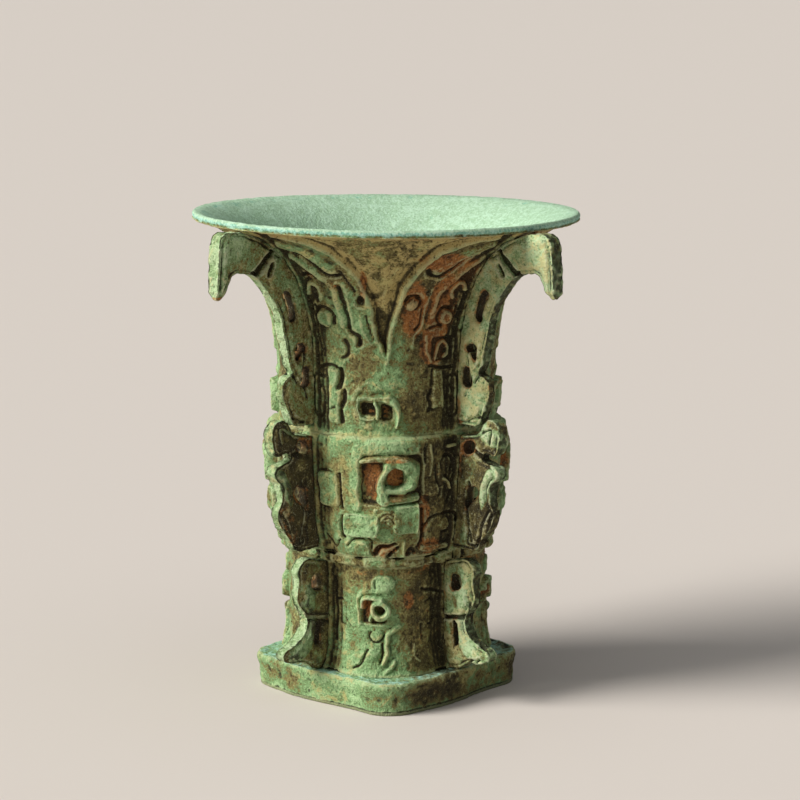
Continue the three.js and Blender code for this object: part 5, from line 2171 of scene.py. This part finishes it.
@dataclass
class Studio:
    """The plain floor, the soft light and the camera.

    Attributes:
        distance: From the cup's axis to the camera, level, in millimetres.
        height: The camera's height above the floor.
        sideways: How far the camera stands to the right.
        pitch: How far it looks down, in degrees.
        azimuth: The side that it looks from, in degrees.
        lens: The focal length for the 36 mm sensor, in millimetres.
        floor_colour: The floor's colour.
        fill_strength: The strength of the pale light all round.
        lamps: A window at the upper left of the view, light from above, and a little from the front.
    """

    distance: float = 469.8
    height: float = 136.5
    sideways: float = 2.55
    pitch: float = 9.9
    azimuth: float = 45.0
    lens: float = 113.85
    floor_colour: str = "d3cac3"
    fill_strength: float = 0.08
    lamps: tuple[Lamp, ...] = (
        Lamp("window_light", 4.4, 30, -72, 33, (1.0, 0.985, 0.94)),
        Lamp("overhead_light", 0.72, 70, 15, 78, (0.97, 1.0, 1.0)),
        Lamp("front_light", 0.22, 80, -48, 14, (1.0, 0.98, 0.93)),
    )

    def build(self) -> None:
        """Makes the floor, the lamps and the camera."""
        self.floor()
        self.light()
        self.camera()

    def floor(self) -> None:
        """A pale floor that reaches past the view."""
        reach, gap = 20.0, 0.02 * MM
        mesh = bpy.data.meshes.new("studio_floor")
        corners = [(-reach, -reach), (reach, -reach), (reach, reach), (-reach, reach)]
        mesh.from_pydata([(x, y, -gap) for x, y in corners], [], [(0, 1, 2, 3)])
        floor = placed("studio_floor", mesh)
        material = bpy.data.materials.new("studio_floor")
        material.use_nodes = True
        shader = material.node_tree.nodes["Principled BSDF"]
        shader.inputs["Base Color"].default_value = linear(self.floor_colour)
        shader.inputs["Roughness"].default_value = 0.9
        mesh.materials.append(material)

    def light(self) -> None:
        """The lamps, and pale light all round."""
        for lamp in self.lamps:
            lamp.build(self.azimuth)
        world = bpy.data.worlds.new("studio_air")
        world.use_nodes = True
        background = world.node_tree.nodes["Background"]
        background.inputs["Color"].default_value = (0.92, 0.96, 1.0, 1.0)
        background.inputs["Strength"].default_value = self.fill_strength
        bpy.context.scene.world = world

    def camera(self) -> None:
        """The camera at the photo's view of a corner."""
        data = bpy.data.cameras.new("camera")
        data.sensor_width = 36.0
        data.lens = self.lens
        camera = placed("camera", data)
        around = self.azimuth * DEGREE
        back = Vector((math.sin(around), -math.cos(around), 0))
        right = Vector((math.cos(around), math.sin(around), 0))
        camera.location = (back * self.distance + right * self.sideways + Vector((0, 0, self.height))) * MM
        down = self.pitch * DEGREE
        look = -back * math.cos(down) - Vector((0, 0, math.sin(down)))
        camera.rotation_mode = "QUATERNION"
        camera.rotation_quaternion = look.to_track_quat("-Z", "Y")
        bpy.context.scene.camera = camera


@dataclass
class WineCup:
    """The whole cup, from the plinth up."""

    levels: Levels = field(default_factory=Levels.of_frame)

    def build(self) -> None:
        """Builds every piece in order."""
        loft = LoftTree()
        neck, belly, foot = Neck(self.levels), Belly(self.levels), Foot(self.levels)
        for shell in (Plinth(self.levels), foot, Floor(self.levels), belly, neck):
            shell.build(loft)
        castings = ((NECK_HORN, neck), (BELLY_HORN, belly), (BELLY_SNOUT, belly), (FOOT_HORN, foot))
        flanges = ((NECK_FLANGE, neck), (BELLY_FLANGE, belly), (FOOT_FLANGE, foot))
        for part, shell in castings + flanges:
            part.build(shell)
        crust = CrustTree()
        for seed, (name, density) in enumerate(GRAINS.items()):
            crust.strew(f"{name}_cast", density, seed)


def main() -> None:
    """Builds the cup and its studio."""
    logging.basicConfig(level=logging.INFO, format="%(name)s %(message)s")
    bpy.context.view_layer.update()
    bpy.context.scene.view_settings.view_transform = "Standard"
    WineCup().build()
    Studio().build()


if __name__ == "__main__":
    main()
